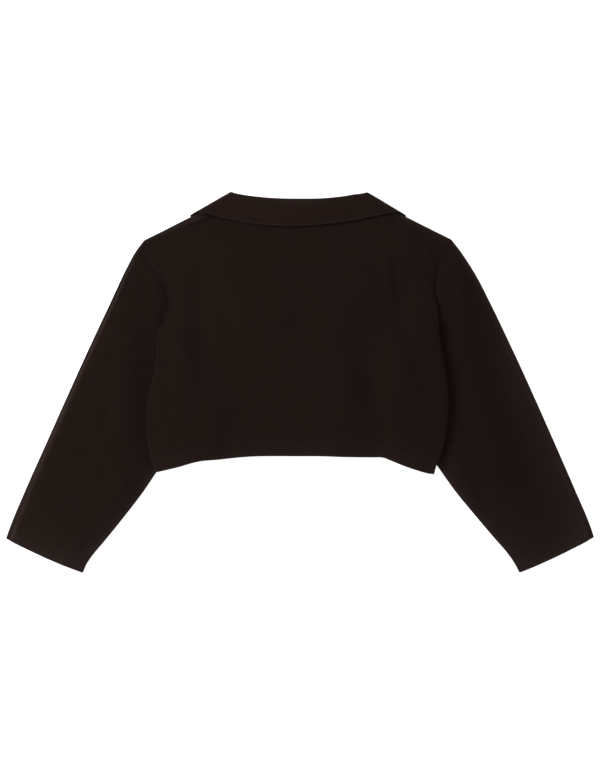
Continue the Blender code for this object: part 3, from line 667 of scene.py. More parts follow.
# A front: its middle is half a ply over its floor, and past its top rows it wraps over the shoulder.
# It gives its shoulder seam's line too.
def makeFront(side, plan, frontLift, loft, press):
    points = frontPlan(side, plan)
    rows, columns = points.shape[:2]
    height = bodyFloor(points[..., 0], points[..., 1]) + frontLift + cloth["ply"] / 2
    middle = np.append(points, height[..., None], axis=-1)
    wrap, wrapNormals = shoulderWrapRows(side, middle[-1], loft[-1])
    normals = np.concatenate((gridNormals(middle, -1), wrapNormals))
    middle = np.concatenate((middle, wrap))
    level = np.concatenate((bodyLevels(), np.full(len(wrap), 2.0)))[:, None] * np.ones(columns)
    over, under = bodySkins(level, np.concatenate((press, np.ones((len(wrap), columns)))))
    quads, uvCorners = gridQuads(len(middle), columns, turned=side == "right")
    row, column = np.divmod(quads.min(axis=1), columns)
    kept = (row < rows - 1) | (column >= body["neckColumns"])
    uv = middle[..., :2].copy()
    uv[rows:, :, 1] = middle[rows - 1, :, 1] + lengthAlong(middle[rows - 1:])[1:]
    # wear and painted highlight at the hem's edge; on the wrap, a lighter fold with painted shade under the
    # collar's edge and along the left shoulder seam
    wearAndPaintedLight = fade(level * body["height"], *body["wearAndPaintedLight"]["frontHem"])
    fromCollar = distanceTo(wrap[..., 0], wrap[..., 1], collar["underEdge"])
    wearAndPaintedLight[rows:] = body["wrapWearAndHighlight"] + bell(fromCollar, *body["wearAndPaintedLight"]["wrapUnderCollar"])
    seamX = wrap[-1, :, 0]
    wearAndPaintedLight[-1] -= body["leftSeamShade"] * ramp(seamX, *body["leftSeam"]) * (seamX < 0)
    quads, uvCorners = quads[kept], uvCorners[kept]
    piece = shell("front_panel_" + side, middle, normals, quads, uvCorners, uv, over, under, wearAndPaintedLight)
    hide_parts("front_" + side)
    out = np.append(shoulderDirections(side)[1], 0.0)
    sewn = middle[-1, body["neckColumns"] + 1:] - out * cloth["seam"] * body["seamOut"]
    sewn[:, 2] += np.linspace(*body["seamSunk"], len(sewn))
    return piece, (middle + normals * over[..., None])[:rows], normals[:rows], sewn


sleeve = {
    "across": 72,
    "creaseRows": 9,
    "rings": 130,
    "ringPower": 1.15,  # rings lie closer together near the armhole
    "cuffRings": 28,
    "cuffStart": 0.93,
    "cuffBow": 2.0,
    "axisColumns": 12,  # of the armhole's outer end, from where the knit's axis runs to the cuff
    "besideColumns": 4,
    "topY": 205.0,
    "tipShare": 0.014,  # of the way across, to draw the armhole to the tip
    "drawPower": (14.0, 1.0, 0.2),  # at the armhole, further down, and from which level on
    "stitchLines": (23.0, 26.5),

    "loft": {"left": 4.0, "right": 1.8},
    "roll": {"left": 0.3, "right": 2.9},  # extra loft just inside the outer fold
    "rollWidth": {"left": 16.0, "right": 30.0},
    "rollFrom": 9.0,
    "rollPastBody": 30.0,
    "edgeRamp": 12.0,
    "besideBody": {"left": 0.3, "right": 1.0},  # loft where the body lies on the sleeve
    "strip": {"left": 4.0, "right": 46.0},  # how far that reaches out past the body
    "bodyRamp": {"left": 46.0, "right": 60.0},
    "sewnRamp": 24.0,
    "armholeGap": 0.45,  # from the body's side to the sleeve's edge
    "armholeRamp": (9.0, 36.0),  # the first rise off the armhole, low down and at its top
    "armholeTop": (165.0, 25.0),  # y where the top starts, and its ramp
    "armholeRise": 0.42,  # share of the loft that the first rise takes
    "puff": 62.0,  # the rest takes this long
    "outerRamp": 11.0,
    "innerRamp": {"left": 30.0, "right": 20.0},
    "foldPower": 0.7,
    "cuffRamp": 0.22,
    "press": (0.45, 24.0),  # share of the cuff's thickness at the folds, and its ramp
    "uneven": {"left": ((21, 30, 90, 0.18), (22, 12, 30, 0.035)),
               "right": ((35, 30, 90, 0.18), (36, 12, 30, 0.035))},

    "folds": {
        "left": (
            (-262, 118, -302, 10, 6, 22, 1, 0.8),
            (-330, -60, -262, -150, -8, 20, 1, -1.1),
            (-300, 0, -270, -70, 4, 16, 1, -0.7),
            (-372, -120, -330, -190, -4, 16, 1, 0.6),
            (-350, -170, -300, -215, 5, 14, 1, -0.6),
            (-236, 168, -232, 120, 0, 9, 1, 0.8),
            (-282, -84, -312, -140, 3, 15, 1, 0.6),
        ),
        "right": (
            (243, 128, 272, 40, 4, 20, 1.3, -1.4),
            (256, 46, 300, -84, -4, 26, 1.2, -1.5),
            (290, -92, 306, -176, 4, 15, 1.8, -1.1),
            (284, -168, 292, -196, 0, 11, 1, 1.3),
            (230, -46, 219, -122, 0, 12, 1, 1.6),
            (322, -110, 352, -190, -4, 18, 1.2, -0.8),
            (236, 160, 250, 110, 3, 12, 1.4, -0.7),
            (300, -190, 348, -236, 4, 16, 1, -0.5),
        ),
    },
    # ridges of the layer beneath
    "lowerFolds": {
        "left": (
            (-262, 96, -306, -20, 5, 18, 1, 1),
            (-330, -80, -300, -180, 6, 16, 1, 0.9),
            (-290, -60, -262, -130, -4, 14, 1, 0.7),
        ),
        "right": (
            (266, 90, 300, -30, -5, 18, 1, 1),
            (350, -110, 330, -190, -5, 16, 1, 0.9),
            (286, -70, 256, -120, 4, 14, 1, 0.7),
        ),
    },
    # painted light and shade in streaks on both layers, lighter above 0 and darker below
    "paintedLightStreaks": {
        "left": (
            (-234, 90, -228, -96, 0, 26, 1, -0.30),
            (-272, -4, -262, -70, 0, 20, 1, 0.07),
            (-320, -130, -280, -190, 0, 40, 1, 0.08),
            (-262, 120, -300, 20, 0, 24, 1, 0.06),
        ),
        "right": (
            (230, 170, 284, -40, 6, 38, 1, -0.32),
            (262, 0, 328, -170, 4, 38, 1, -0.30),
            (290, -104, 302, -170, 0, 14, 1, -0.12),
            (286, -172, 292, -190, 0, 12, 1, 0.12),
            (240, 150, 244, 10, 0, 15, 1, -0.12),
            (236, -96, 262, -190, 0, 20, 1, -0.26),
        ),
    },
    # width and amount of each band of wear and painted highlight, or of painted shade where below 0
    "foldEdge": 4.0,
    "foldBand": {"left": (22.0, 0.14), "right": (33.0, 0.46)},  # painted highlight beside both folds
    "foldBandLevels": (0.1, 0.35),
    "innerBand": {"left": (26.0, 0.36), "right": (26.0, -0.12)},  # painted highlight on the left and painted shade on the right, along the inner fold's lower half
    "innerBandLevels": (0.45, 0.35),
    "farFold": 200.0,  # stands for the outer fold's distance from the inner one
    "cuffEdge": (5.0, 0.8),
    "cuffBand": {"left": (30.0, 0.95), "right": (30.0, 0.7)},
    "bodyShade": {"left": (15.0, 0.0), "right": (15.0, -0.2)},  # beside the body, below this y
    "bodyShadeTop": 110.0,
    "armholeWearAndLight": (0.06, 0.25),  # level where the wear and painted light are whole, and their share at the armhole
}


# The armhole: q runs across the sleeve from its outer edge. Up to a half it follows the body's side, a gap
# away, starting from the shoulder's tip, and then it runs straight to the underarm.
def armhole(side, q):
    half = halves[side]
    x, y = bodySide(side, mix(1.0, half["lastSewnLevel"], np.clip(2 * q, 0, 1)))
    x = x + half["sign"] * sleeve["armholeGap"]
    start = point(side, "shoulderTip") + shoulderDirections(side)[0] * sleeve["armholeGap"]
    nearTop = 1 - ease(q / sleeve["tipShare"])
    x, y = x + (start[0] - x[0]) * nearTop, y + (start[1] - y[0]) * nearTop
    under = np.clip(2 * q - 1, 0, 1)
    end = point(side, "underarm")
    return np.stack((mix(x, end[0], under), mix(y, end[1], under)), axis=-1)


# levels of the sleeve's rings, 0 at the armhole and 1 at the cuff: a power down to the cuff's start, then
# even, with the last ring but one clear of the rim
def sleeveLevels():
    start = sleeve["cuffStart"]
    upper = start * np.linspace(0, 1, sleeve["rings"]) ** sleeve["ringPower"]
    clear = 1 - cloth["rimClear"] / cloth["cuffDepth"] * (1 - start)
    return np.concatenate((upper, np.linspace(start, clear, sleeve["cuffRings"])[1:], [1.0]))


# one edge of the sleeve by level, with the cuff's depth in the levels past its start
def sleeveEdge(side, name, level, topY):
    rows = halves[side][name]
    (endY, endOut), (nearY, nearOut) = sorted(rows)[0], sorted(rows)[2]
    run = np.hypot(nearY - endY, nearOut - endOut) / (nearY - endY)
    y = np.interp(level, (0.0, sleeve["cuffStart"], 1.0), (topY, endY + cloth["cuffDepth"] / run, endY))
    return np.stack((halves[side]["sign"] * through(rows, y), y), axis=-1)


# plan of a sleeve: armhole blended to cuff, plus each edge's own bow times its share of the way across
def sleevePlan(side):
    level = sleeveLevels()
    q = np.linspace(0, 1, sleeve["across"] + 1)
    outer = sleeveEdge(side, "sleeveOuter", level, sleeve["topY"])
    inner = sleeveEdge(side, "sleeveInner", level, halves[side]["underarm"][1])
    cuff = mix(outer[-1], inner[-1], q[:, None])
    cuff[:, 1] -= sleeve["cuffBow"] * 4 * q * (1 - q)
    outerPull, innerPull = (edge - mix(edge[0], edge[-1], level[:, None]) for edge in (outer, inner))
    plan = mix(armhole(side, q)[None], cuff[None], level[:, None, None])
    return plan + outerPull[:, None] * (1 - q)[:, None] + innerPull[:, None] * q[:, None]


# distances in plan from a sleeve's outer and inner folds
def fromFolds(plan):
    return np.linalg.norm(plan - plan[:, :1], axis=-1), np.linalg.norm(plan - plan[:, -1:], axis=-1)


# how far a point lies out past the body's side
def pastSide(side, plan):
    return halves[side]["sign"] * plan[..., 0] - through(halves[side]["side"], plan[..., 1])


# Loft of a sleeve's upper layer: a product of ramps off its folds, the body and the armhole times its full
# loft and lie, plus the roll inside its outer fold; in the cuff it is no lower than the turned plies.
def sleeveLoft(side, plan):
    fromOuter, fromInner = fromFolds(plan)
    pastBody = pastSide(side, plan)
    offFolds = ease(fromOuter / sleeve["outerRamp"]) * ease(fromInner / sleeve["innerRamp"][side])
    sewn = ramp(plan[..., 1], sewnEnd(side)[1], sleeve["sewnRamp"])
    strip, rise = sleeve["strip"][side], sleeve["armholeRise"]
    first = mix(*sleeve["armholeRamp"], ramp(plan[..., 1], *sleeve["armholeTop"]))
    offSeam = rise * ease(pastBody / first) + (1 - rise) * ramp(pastBody, first / 2, sleeve["puff"])
    swell = mix(ramp(pastBody, strip / 2, sleeve["bodyRamp"][side]), offSeam, sewn)
    edgeRamp = sleeve["edgeRamp"]
    beside = sleeve["besideBody"][side] * (1 - ease(pastBody / strip))
    beside = beside * (1 - sewn) * ease(fromInner / edgeRamp)
    roll = sleeve["roll"][side] * ease(fromOuter / edgeRamp)
    roll = roll * bell(np.maximum(fromOuter - sleeve["rollFrom"], 0), sleeve["rollWidth"][side])
    roll = roll * ease(pastBody / sleeve["rollPastBody"])
    lie = lieOf(plan[..., 0], plan[..., 1], sleeve["folds"][side], sleeve["uneven"][side])
    loft = offFolds ** sleeve["foldPower"] * (swell * (sleeve["loft"][side] + lie) + roll) + beside
    share, length = sleeve["press"]
    pressed = mix(share, 1.0, ease(np.minimum(fromOuter, fromInner) / length))
    inCuff = ease((sleeveLevels()[:, None] - sleeve["cuffStart"]) / sleeve["cuffRamp"] + 1)
    return np.maximum(np.clip(loft, 0.0, cloth["mostLoft"]), 2 * cloth["ply"] * pressed * inCuff)


# a sleeve's plan with its two edges drawn in, square to themselves, by a distance times a power of the
# share of the way across; at the armhole that power lets only the very edge move
def drawIn(plan, distance):
    q = np.linspace(0, 1, plan.shape[1])
    atArmhole, below, length = sleeve["drawPower"]
    power = mix(atArmhole, below, ease(sleeveLevels()[:, None] / length))
    drawn = plan.copy()
    columns = sleeve["besideColumns"]
    for number, edge, beside, share in ((0, 0, columns, (1 - q) ** power),
                                        (1, -1, -1 - columns, q ** power)):
        run = unit(np.gradient(plan[:, edge], axis=0))
        square = np.stack((-run[:, 1], run[:, 0]), axis=-1)
        inwards = np.sign(np.sum(square * (plan[:, beside] - plan[:, edge]), axis=-1))
        step = square * (inwards * distance[:, number])[:, None]
        drawn += step[:, None] * share[..., None]
    return drawn


# Middle and normals of a sleeve's rings: across its lower layer, half a turn round the inner fold, back
# across the upper layer, half a turn round the outer fold; on a fold place = centre + direction * radius.
def sleeveTube(side, plan):
    loft = sleeveLoft(side, plan)
    radius = (cloth["ply"] + cloth["seam"] + loft[:, (0, -1)]) / 2
    drawn = drawIn(plan, radius + cloth["ply"] / 2)
    lift = foldHeights(drawn[..., 0], drawn[..., 1], sleeve["lowerFolds"][side])
    lift = np.minimum(lift, cloth["liftShare"] * loft)
    low = np.append(drawn, (cloth["ply"] / 2 + lift)[..., None], axis=-1)
    high = np.append(drawn, (cloth["ply"] * 1.5 + cloth["seam"] + loft)[..., None], axis=-1)
    angles = np.linspace(-90, 90, sleeve["creaseRows"] + 2)[1:-1]
    folds = []
    for edge, turns in ((0, angles[::-1]), (-1, angles)):
        outwards = unit(plan[:, edge] - drawn[:, edge])
        outwards = np.append(outwards, np.zeros((len(plan), 1)), axis=1)[:, None]
        centre = (low[:, edge] + upward * radius[:, edge, None])[:, None]
        turn = np.radians(turns)[None, :, None]
        direction = outwards * np.cos(turn) + upward * np.sin(turn)
        folds.append((centre + direction * radius[:, edge, None, None], direction))
    (outer, outerWay), (inner, innerWay) = folds
    middle = np.concatenate((low, inner, high[:, ::-1], outer), axis=1)
    lowWay, highWay = gridNormals(low, -1), gridNormals(high, 1)[:, ::-1]
    return middle, np.concatenate((lowWay, innerWay, highWay, outerWay), axis=1)


# wear and painted light of a sleeve: a sum of fades and bells from its folds, its cuff and the body's side,
# and painted streaks, eased off at the armhole; wear and painted highlight above 0, painted shade below
def sleeveWearAndPaintedLight(side, plan, middle, level, fromCuff):
    fromOuter, fromInner = fromFolds(plan)
    nearest = np.minimum(fromOuter, fromInner)
    onFold = np.zeros((len(plan), sleeve["creaseRows"]))
    fromFold = np.concatenate((nearest, onFold, nearest[:, ::-1], onFold), axis=1)
    farFold = onFold + sleeve["farFold"]
    fromInner = np.concatenate((fromInner, onFold, fromInner[:, ::-1], farFold), axis=1)
    # wear and painted highlight at and beside both folds
    band = bell(fromFold, *sleeve["foldBand"][side]) * ramp(level, *sleeve["foldBandLevels"])
    wearAndPaintedLight = fade(fromFold, sleeve["foldEdge"]) + band
    # lighter towards the cuff: wear and painted highlight
    wearAndPaintedLight = wearAndPaintedLight + fade(fromCuff, *sleeve["cuffEdge"]) + fade(fromCuff, *sleeve["cuffBand"][side])
    wearAndPaintedLight = wearAndPaintedLight + bell(fromInner, *sleeve["innerBand"][side]) * ramp(level, *sleeve["innerBandLevels"])
    # painted shade beside the body
    beside = bell(pastSide(side, middle), *sleeve["bodyShade"][side])
    wearAndPaintedLight = wearAndPaintedLight + beside * (middle[..., 1] < sleeve["bodyShadeTop"])
    # painted light and shade in streaks
    wearAndPaintedLight = wearAndPaintedLight + foldHeights(middle[..., 0], middle[..., 1], sleeve["paintedLightStreaks"][side])
    length, start = sleeve["armholeWearAndLight"]
    return wearAndPaintedLight * ease(level / length + start)


# A sleeve: a tube whose turned cuff adds a ply inside. Its uv is its plan turned to run along its axis.
def makeSleeve(side):
    plan = sleevePlan(side)
    middle, normals = sleeveTube(side, plan)
    level = sleeveLevels()[:, None] * np.ones(middle.shape[1])
    fromCuff = (1 - level) / (1 - sleeve["cuffStart"]) * cloth["cuffDepth"]
    over = cloth["ply"] / 2 - stitchGroove(fromCuff, sleeve["stitchLines"])
    under = cloth["ply"] / 2 + cloth["ply"] * (1 - ramp(fromCuff, cloth["cuffDepth"], cloth["ledge"]))
    quads, uvCorners = gridQuads(*middle.shape[:2], closed=True, turned=side == "right")
    axis = unit(plan[-1].mean(axis=0) - plan[0, :sleeve["axisColumns"]].mean(axis=0))
    wrapped = np.concatenate((middle, middle[:, :1]), axis=1)[..., :2]
    uv = np.stack((wrapped @ np.array((-axis[1], axis[0])), wrapped @ axis), axis=-1)
    wearAndPaintedLight = sleeveWearAndPaintedLight(side, plan, middle, level, fromCuff)
    piece = shell("sleeve_" + side + "_tube", middle, normals, quads, uvCorners, uv, over, under, wearAndPaintedLight)
    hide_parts("sleeve_" + side)
    return piece, middle + normals * over[..., None], normals


collar = {
    "standRadius": cloth["collarPlies"] / 2 + 0.2,
    "tip": (52.6, 115.6),
    "frontEdge": 2.4,
    "frontStand": 6.0,
    "rollLine": ((-101.4, 275.5), (-96, 274.7), (-75, 271), (-57.6, 268.8), (-32, 266.7), (0, 266),
                 (29.4, 266.5), (52, 268.5), (64.2, 270.1), (81.6, 273.2), (98.9, 275)),
    "fallEdge": ((-147.5, 248.8), (-128, 242.5), (-90.3, 233.7), (-58.4, 228.3), (-1.8, 226.1),
                 (51.8, 230.5), (98.9, 238.7), (142, 248.5)),
    # cloth in the shade of the fall
    "underEdge": ((-148.5, 245), (-135, 244.3), (-122.4, 240.4), (-90.3, 233), (-58.4, 227.6),
                  (-1.8, 225.6), (51.8, 230), (98.9, 238), (142, 247.5)),
    "spread": (12.3, -6.6),  # the front part of the fall reaches this much further out
    "spreadTurn": (-25.0, 85.0),  # degrees round the crease where it starts to draw in, and its ramp
    "cornerLift": {"left": (0.0, 1.4), "right": (0.0, 1.7)},
    "cornerTurn": (10.0, 80.0),
    "creaseDip": 1.2,
    "neckGaps": 2,  # seam gaps from the neck point to the crease
    "frontShare": 0.9,  # share of the way to the crease that the front's columns take
    "backShare": 0.035,  # share of the back's way that lies before its first column
    "frontColumns": 46,
    "creaseColumns": 13,
    "backColumns": 100,
    "standRows": 12,
    "rollRows": 7,
    "fallRows": 40,
    "lastFallRow": 0.955,  # the last row but one stays clear of the rim
    "edgeStitch": 4.5,
    "edgeThin": (3.0, 0.15),  # the edge thins out from here, by this much
    # wear and painted highlight along the fall's edge and the roll
    "edgeWearAndHighlight": (2.0, 0.9),
    "rollWearAndHighlight": (6.0, 1.0),
    # painted shade on cloth tucked under the fall's edge at the front ends and down into the crease
    "tuckedShadeAmount": -1.15,
    "tuckedFrom": (0.78, 0.12),  # share of the way down, and its ramp
    "tuckedTurn": (45.0, 35.0),
    "tuckedAbove": (205.0, 25.0),
}
collar["fallRadius"] = collar["standRadius"] + cloth["collarPlies"] + cloth["slack"]
collar["middle"] = collar["fallRadius"] + cloth["collarPlies"] / 2
collar["lift"] = cloth["collarPlies"] + cloth["slack"]
collar["neckLoft"] = (collar["middle"] + collar["standRadius"] - collar["lift"]
                      - 1.5 * cloth["ply"] - cloth["seam"])


# the side crease: the unit vector out from it, square to corner - end, and its centre line's ends at the
# neck, the fold and the edge, each drawn in by the fall's radius and half its plies
def sideCrease(side):
    corner, end = point(side, "collarCorner"), point(side, "collarEnd")
    run = unit(end - corner)
    out = np.array((run[1], -run[0]))
    out = out * np.sign(out[1])
    inset = collar["fallRadius"] + cloth["collarPlies"] / 2
    down, over = shoulderDirections(side)
    wrap = (cloth["ply"] + cloth["seam"] + collar["neckLoft"]) / 2 + cloth["ply"] / 2
    neck = point(side, "neckPoint") - over * wrap - down * cloth["seam"] * collar["neckGaps"]
    return out, neck, corner - out * inset - run, end - out * inset


# columns of one front end, from the centre front to the side and round its crease: plan points at the neck,
# the fold, a quarter of an ellipse, and the edge, the turn in degrees, and the way out of the crease
def frontEndColumns(side):
    out, creaseNeck, creaseFold, creaseEdge = sideCrease(side)
    sign, count = halves[side]["sign"], collar["frontColumns"]
    neck = frontNeck(side, count)
    neck[:, 0] = sign * np.maximum(np.abs(neck[:, 0]) - cloth["seam"], collar["frontEdge"])
    neck[:, 1] += cloth["seam"] * np.linspace(1.0, 0.0, count)
    share = np.linspace(0, collar["frontShare"], count)[:, None]
    angle = np.pi / 2 * (1 - share[:, 0])
    front = sign * collar["frontEdge"], body["centreFrontNeck"] + collar["frontStand"]
    fold = np.stack((mix(front[0], creaseFold[0], np.cos(angle)),
                     mix(creaseFold[1], front[1], np.sin(angle))), axis=-1)
    spread = place(side, collar["spread"])
    edge = mix(place(side, collar["tip"])[None], (creaseEdge + spread)[None], share)

    turns = np.linspace(-90, 90, collar["creaseColumns"] + 2)
    ones = np.ones((len(turns), 1))
    lift = place(side, collar["cornerLift"][side]) * ramp(turns, *collar["cornerTurn"])[:, None]
    dip = unit(creaseEdge - creaseFold) * collar["creaseDip"] * np.cos(np.radians(turns))[:, None]
    turning = creaseEdge + spread * (1 - ramp(turns, *collar["spreadTurn"]))[:, None]
    return (np.concatenate((neck, creaseNeck * ones)), np.concatenate((fold, creaseFold + lift + dip)),
            np.concatenate((edge, turning)), np.concatenate((np.full(count, -90.0), turns)),
            out * np.ones((count + len(turns), 1)))


# the same of the back, which are even across: the neck is a parabola from the centre back to the seams'
# ends, and the fold lies inside the roll's line
def backColumns():
    count = collar["backColumns"]
    creases = sideCrease("left"), sideCrease("right")
    seams = shoulderSeam("left")[0], shoulderSeam("right")[0]
    neckX = np.linspace(seams[0][0], seams[1][0], count)
    endX, endY = (np.where(neckX < 0, seams[0][k], seams[1][k]) for k in (0, 1))
    neckY = mix(body["centreBackNeck"], endY, (neckX / endX) ** 2) + cloth["seam"]
    share = np.linspace(collar["backShare"], 1 - collar["backShare"], count)
    foldX, edgeX = (mix(creases[0][k][0], creases[1][k][0], share) for k in (2, 3))
    foldY = through(collar["rollLine"], foldX) - collar["standRadius"] - cloth["collarPlies"] / 2
    fold = np.stack((foldX, foldY), axis=-1)
    edge = np.stack((edgeX, through(collar["fallEdge"], edgeX)), axis=-1)
    neck = np.stack((neckX, neckY), axis=-1)
    return neck, fold, edge, np.full(count, 90.0), np.array((0.0, 1.0)) * np.ones((count, 1))


# Middle and normals of the collar's columns: up the stand, half a turn round the fold, and down the fall.
# "about" is the way from the collar's middle plane to the layer, out cos + up sin of the turn: up at the
# back and down at the front. A layer's place is its plan + up * middle + about * its radius.
def collarGrid(neck, fold, edge, turn, out):
    flat = np.zeros((len(turn), 1))
    neck, fold, edge, out = (np.append(part, flat, axis=1)[:, None] for part in (neck, fold, edge, out))
    turn = np.radians(turn)[:, None, None]
    about = out * np.cos(turn) + upward * np.sin(turn)
    base = upward * collar["middle"]
    stand, fall = collar["standRadius"], collar["fallRadius"]
    standShare = np.linspace(0, 1, collar["standRows"])[None, :, None]
    fallShare = np.append(np.linspace(0, collar["lastFallRow"], collar["fallRows"] - 1), 1.0)[None, :, None]
    angle = np.radians(np.linspace(-90, 90, collar["rollRows"] + 2))[1:-1][None, :, None]
    rollWay = unit(fold - edge) * np.cos(angle) + about * np.sin(angle)
    standPart = mix(neck, fold, standShare) + base + about * stand
    rollPart = fold + base + about * (stand + fall) / 2 + rollWay * (fall - stand) / 2
    fallPart = mix(fold, edge, fallShare) + base + about * fall
    normals = -about * np.ones(standShare.shape), rollWay, about * np.ones(fallShare.shape)
    return np.concatenate((standPart, rollPart, fallPart), axis=1), np.concatenate(normals, axis=1)


# The collar: a sheet of two plies, thinner at its edge. Its uv is the length along the fold and down each
# column. Wear and painted highlight fade from the edges and the roll, and blend to painted shade where the
# fall is tucked in.
def makeCollar():
    left, right = frontEndColumns("left"), frontEndColumns("right")
    columns = [np.concatenate((a, b, c[::-1])) for a, b, c in zip(left, backColumns(), right)]
    turn = columns[3][:, None]
    middle, normals = collarGrid(*columns)
    v = lengthAlong(middle.swapaxes(0, 1)).T
    s = np.broadcast_to(lengthAlong(middle[:, collar["standRows"]])[:, None], v.shape)
    fromEdge, fromEnd = v[:, -1:] - v, np.minimum(s, s[-1:] - s)
    onFall = np.arange(v.shape[1]) > collar["standRows"]
    nearest = np.minimum(fromEdge, np.where(onFall, fromEnd, np.inf))
    half = cloth["collarPlies"] / 2
    width, thinner = collar["edgeThin"]
    over = half - stitchGroove(nearest, (collar["edgeStitch"],)) - thinner * ease(1 - nearest / width)
    pastFold = v - v[:, collar["standRows"] + collar["rollRows"] // 2, None]
    # wear and painted highlight along the edges and the roll
    wearAndPaintedLight = fade(nearest, *collar["edgeWearAndHighlight"]) + fade(np.abs(pastFold), *collar["rollWearAndHighlight"])
    # painted shade where the fall is tucked in
    down = np.where(pastFold > 0, v / v[:, -1:], 0.0)
    tuckedShade = ramp(down, *collar["tuckedFrom"]) * (1 - ramp(turn, *collar["tuckedTurn"]))
    wearAndPaintedLight = mix(wearAndPaintedLight, collar["tuckedShadeAmount"], tuckedShade * ramp(middle[..., 1], *collar["tuckedAbove"]))
    quads, uvCorners = gridQuads(*v.shape)
    uv = np.stack((s, v), axis=-1)
    piece = shell("collar_folded", middle, normals, quads, uvCorners, uv, over, half, wearAndPaintedLight)
    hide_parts("collar")
    return piece, middle + normals * over[..., None], normals, fromEdge, fromEnd


sewing = {
    "seamRadius": 0.55,
    "seamSwell": 0.1,  # share of the radius that swells once a link
    "seamPitch": 2.0,  # one link of the seam's chain
    "seamSides": 8,
    "pointsInLink": 4,
    "endShare": 0.5,  # of its radius, at both ends
    "climb": 0.95,  # the armhole's seam climbs by this beside its lower end
    "climbFrom": 0.06,  # levels above that end, and the length of the climb
    "climbOver": 0.05,
    "armholeOut": 0.2,  # from the body's side to the middle of the armhole's gap
    "lowerRaise": 0.05,
    "armholePoints": 80,
    "sideIn": 0.55,
    "sidePoints": 120,
    "sideStart": 0.01,  # level
    "hemShare": 0.5,  # of a ply that it rises in the turned hem
    "runOn": (0.03, 0.06, 0.1),  # shares of the way to the underarm
}


# points spread evenly along a line, about a spacing apart, and their lengths along it
def evenly(line, spacing):
    s = lengthAlong(line)
    at = np.linspace(0, s[-1], max(int(s[-1] / spacing), 2) + 1)
    return pointsAt(line, s, at), at


# A linked seam: a tube along a line, circle points = centre + radius (side cos + top sin),
# whose radius swells once a link and is smaller at both ends.
def seamStrand(name, line):
    sides = sewing["seamSides"]
    centre, s = evenly(line, sewing["seamPitch"] / sewing["pointsInLink"])
    along = unit(np.gradient(centre, axis=0))
    side = unit(np.cross(along, upward))
    top = np.cross(side, along)[:, None]
    swell = sewing["seamSwell"]
    radius = sewing["seamRadius"] * (1 - swell + swell * np.cos(2 * np.pi * s / sewing["seamPitch"]))
    radius[[0, -1]] *= sewing["endShare"]
    turn = np.linspace(0, 2 * np.pi, sides, endpoint=False)[None, :, None]
    points = centre[:, None] + radius[:, None, None] * (side[:, None] * np.cos(turn) + top * np.sin(turn))
    quads, uvCorners = gridQuads(len(s), sides, closed=True, turned=True)
    around = np.linspace(0, 2 * np.pi, sides + 1)
    uv = np.stack(np.broadcast_arrays(around[None, :], s[:, None]), axis=-1).reshape(-1, 2)
    firstRing = np.arange(sides)
    lastRing = firstRing[::-1] + (len(s) - 1) * sides
    caps = [(ring[0], ring[k], ring[k + 1], ring[k + 2])
            for ring in (firstRing, lastRing) for k in range(1, sides - 2, 2)]
    corners = np.concatenate((uv[uvCorners], np.zeros((len(caps), 4, 2)))).reshape(-1, 2)
    quads = np.concatenate((quads, np.array(caps)))
    return meshFrom(name, points.reshape(-1, 3), quads, corners, np.zeros(len(s) * sides))


# The sewn armhole, midway in the gap between the body's side and the sleeve's edge: it climbs with the body
# near its lower end and runs on a little along the sleeve's edge, under the body.
def armholeLine(side, height):
    half = halves[side]
    level = mix(1.0, half["lastSewnLevel"], np.linspace(0, 1, sewing["armholePoints"]))
    x, y = bodySide(side, level)
    run, over = shoulderDirections(side)
    out = sewing["armholeOut"]
    tip = point(side, "shoulderTip") + run * out - over * out
    sewn = np.concatenate((tip[None], np.stack((x + half["sign"] * out, y), axis=-1)))
    hidden = mix(sewn[-1], point(side, "underarm"), np.array(sewing["runOn"])[:, None])
    climb = sewing["climb"] * ease((level[-1] + sewing["climbFrom"] - level) / sewing["climbOver"])
    heights = height + np.concatenate(([0.0], climb, np.full(len(hidden), sewing["climb"])))
    return np.append(np.concatenate((sewn, hidden)), heights[:, None], axis=1)


# the side seam, in the slit between the front's edge and the back's: as high as the floor, a ply, half a
# ply more in the hem, and half a seam
def sideLine(side):
    level = np.linspace(sewing["sideStart"], halves[side]["lastSewnLevel"], sewing["sidePoints"])
    x, y = bodySide(side, level)
    height = bodyFloor(x, y) + cloth["ply"] * (1 + sewing["hemShare"] * inHem(level)) + cloth["seam"] / 2
    return np.stack((x - halves[side]["sign"] * sewing["sideIn"], y, height), axis=-1)


# all seams: two at each armhole, for the sleeve's two layers, and one at each side and shoulder
def makeSeams(shoulderLines):
    made = []
    for side in halves:
        lines = {"armhole_seam_upper_": armholeLine(side, 1.5 * cloth["ply"] + cloth["seam"]),
                 "armhole_seam_lower_": armholeLine(side, 0.5 * cloth["ply"] + sewing["lowerRaise"]),
                 "side_seam_": sideLine(side), "shoulder_seam_": shoulderLines[side]}
        made += [seamStrand(name + side, line) for name, line in lines.items()]
    return made


stitch = {
    "pitch": 2.9,
    "length": 2.3,
    "radius": 0.22,
    "sunk": 0.08,
    "sides": 6,
    # rings of one stitch: share of half its length, share of its radius, dip into the cloth
    "rings": ((-1.0, 0.4, 0.3), (-0.6, 1.0, 0.0), (0.6, 1.0, 0.0), (1.0, 0.4, 0.3)),
    "reach": 0.8,  # how far to both sides its direction is taken
    "clear": 2.5,  # of both ends of an open line
    "lowest": 0.01,  # pressed flat where the garment lies on it
}


# where the values of a grid's rows pass a level: the grid's points and normals there, one for each column,
# blended between the row before and the row after
def levelLine(values, at, points, normals):
    row = np.clip(np.searchsorted(values, at) - 1, 0, len(values) - 2)
    t = (at - values[row]) / (values[row + 1] - values[row])
    return mix(points[row], points[row + 1], t), unit(mix(normals[row], normals[row + 1], t))


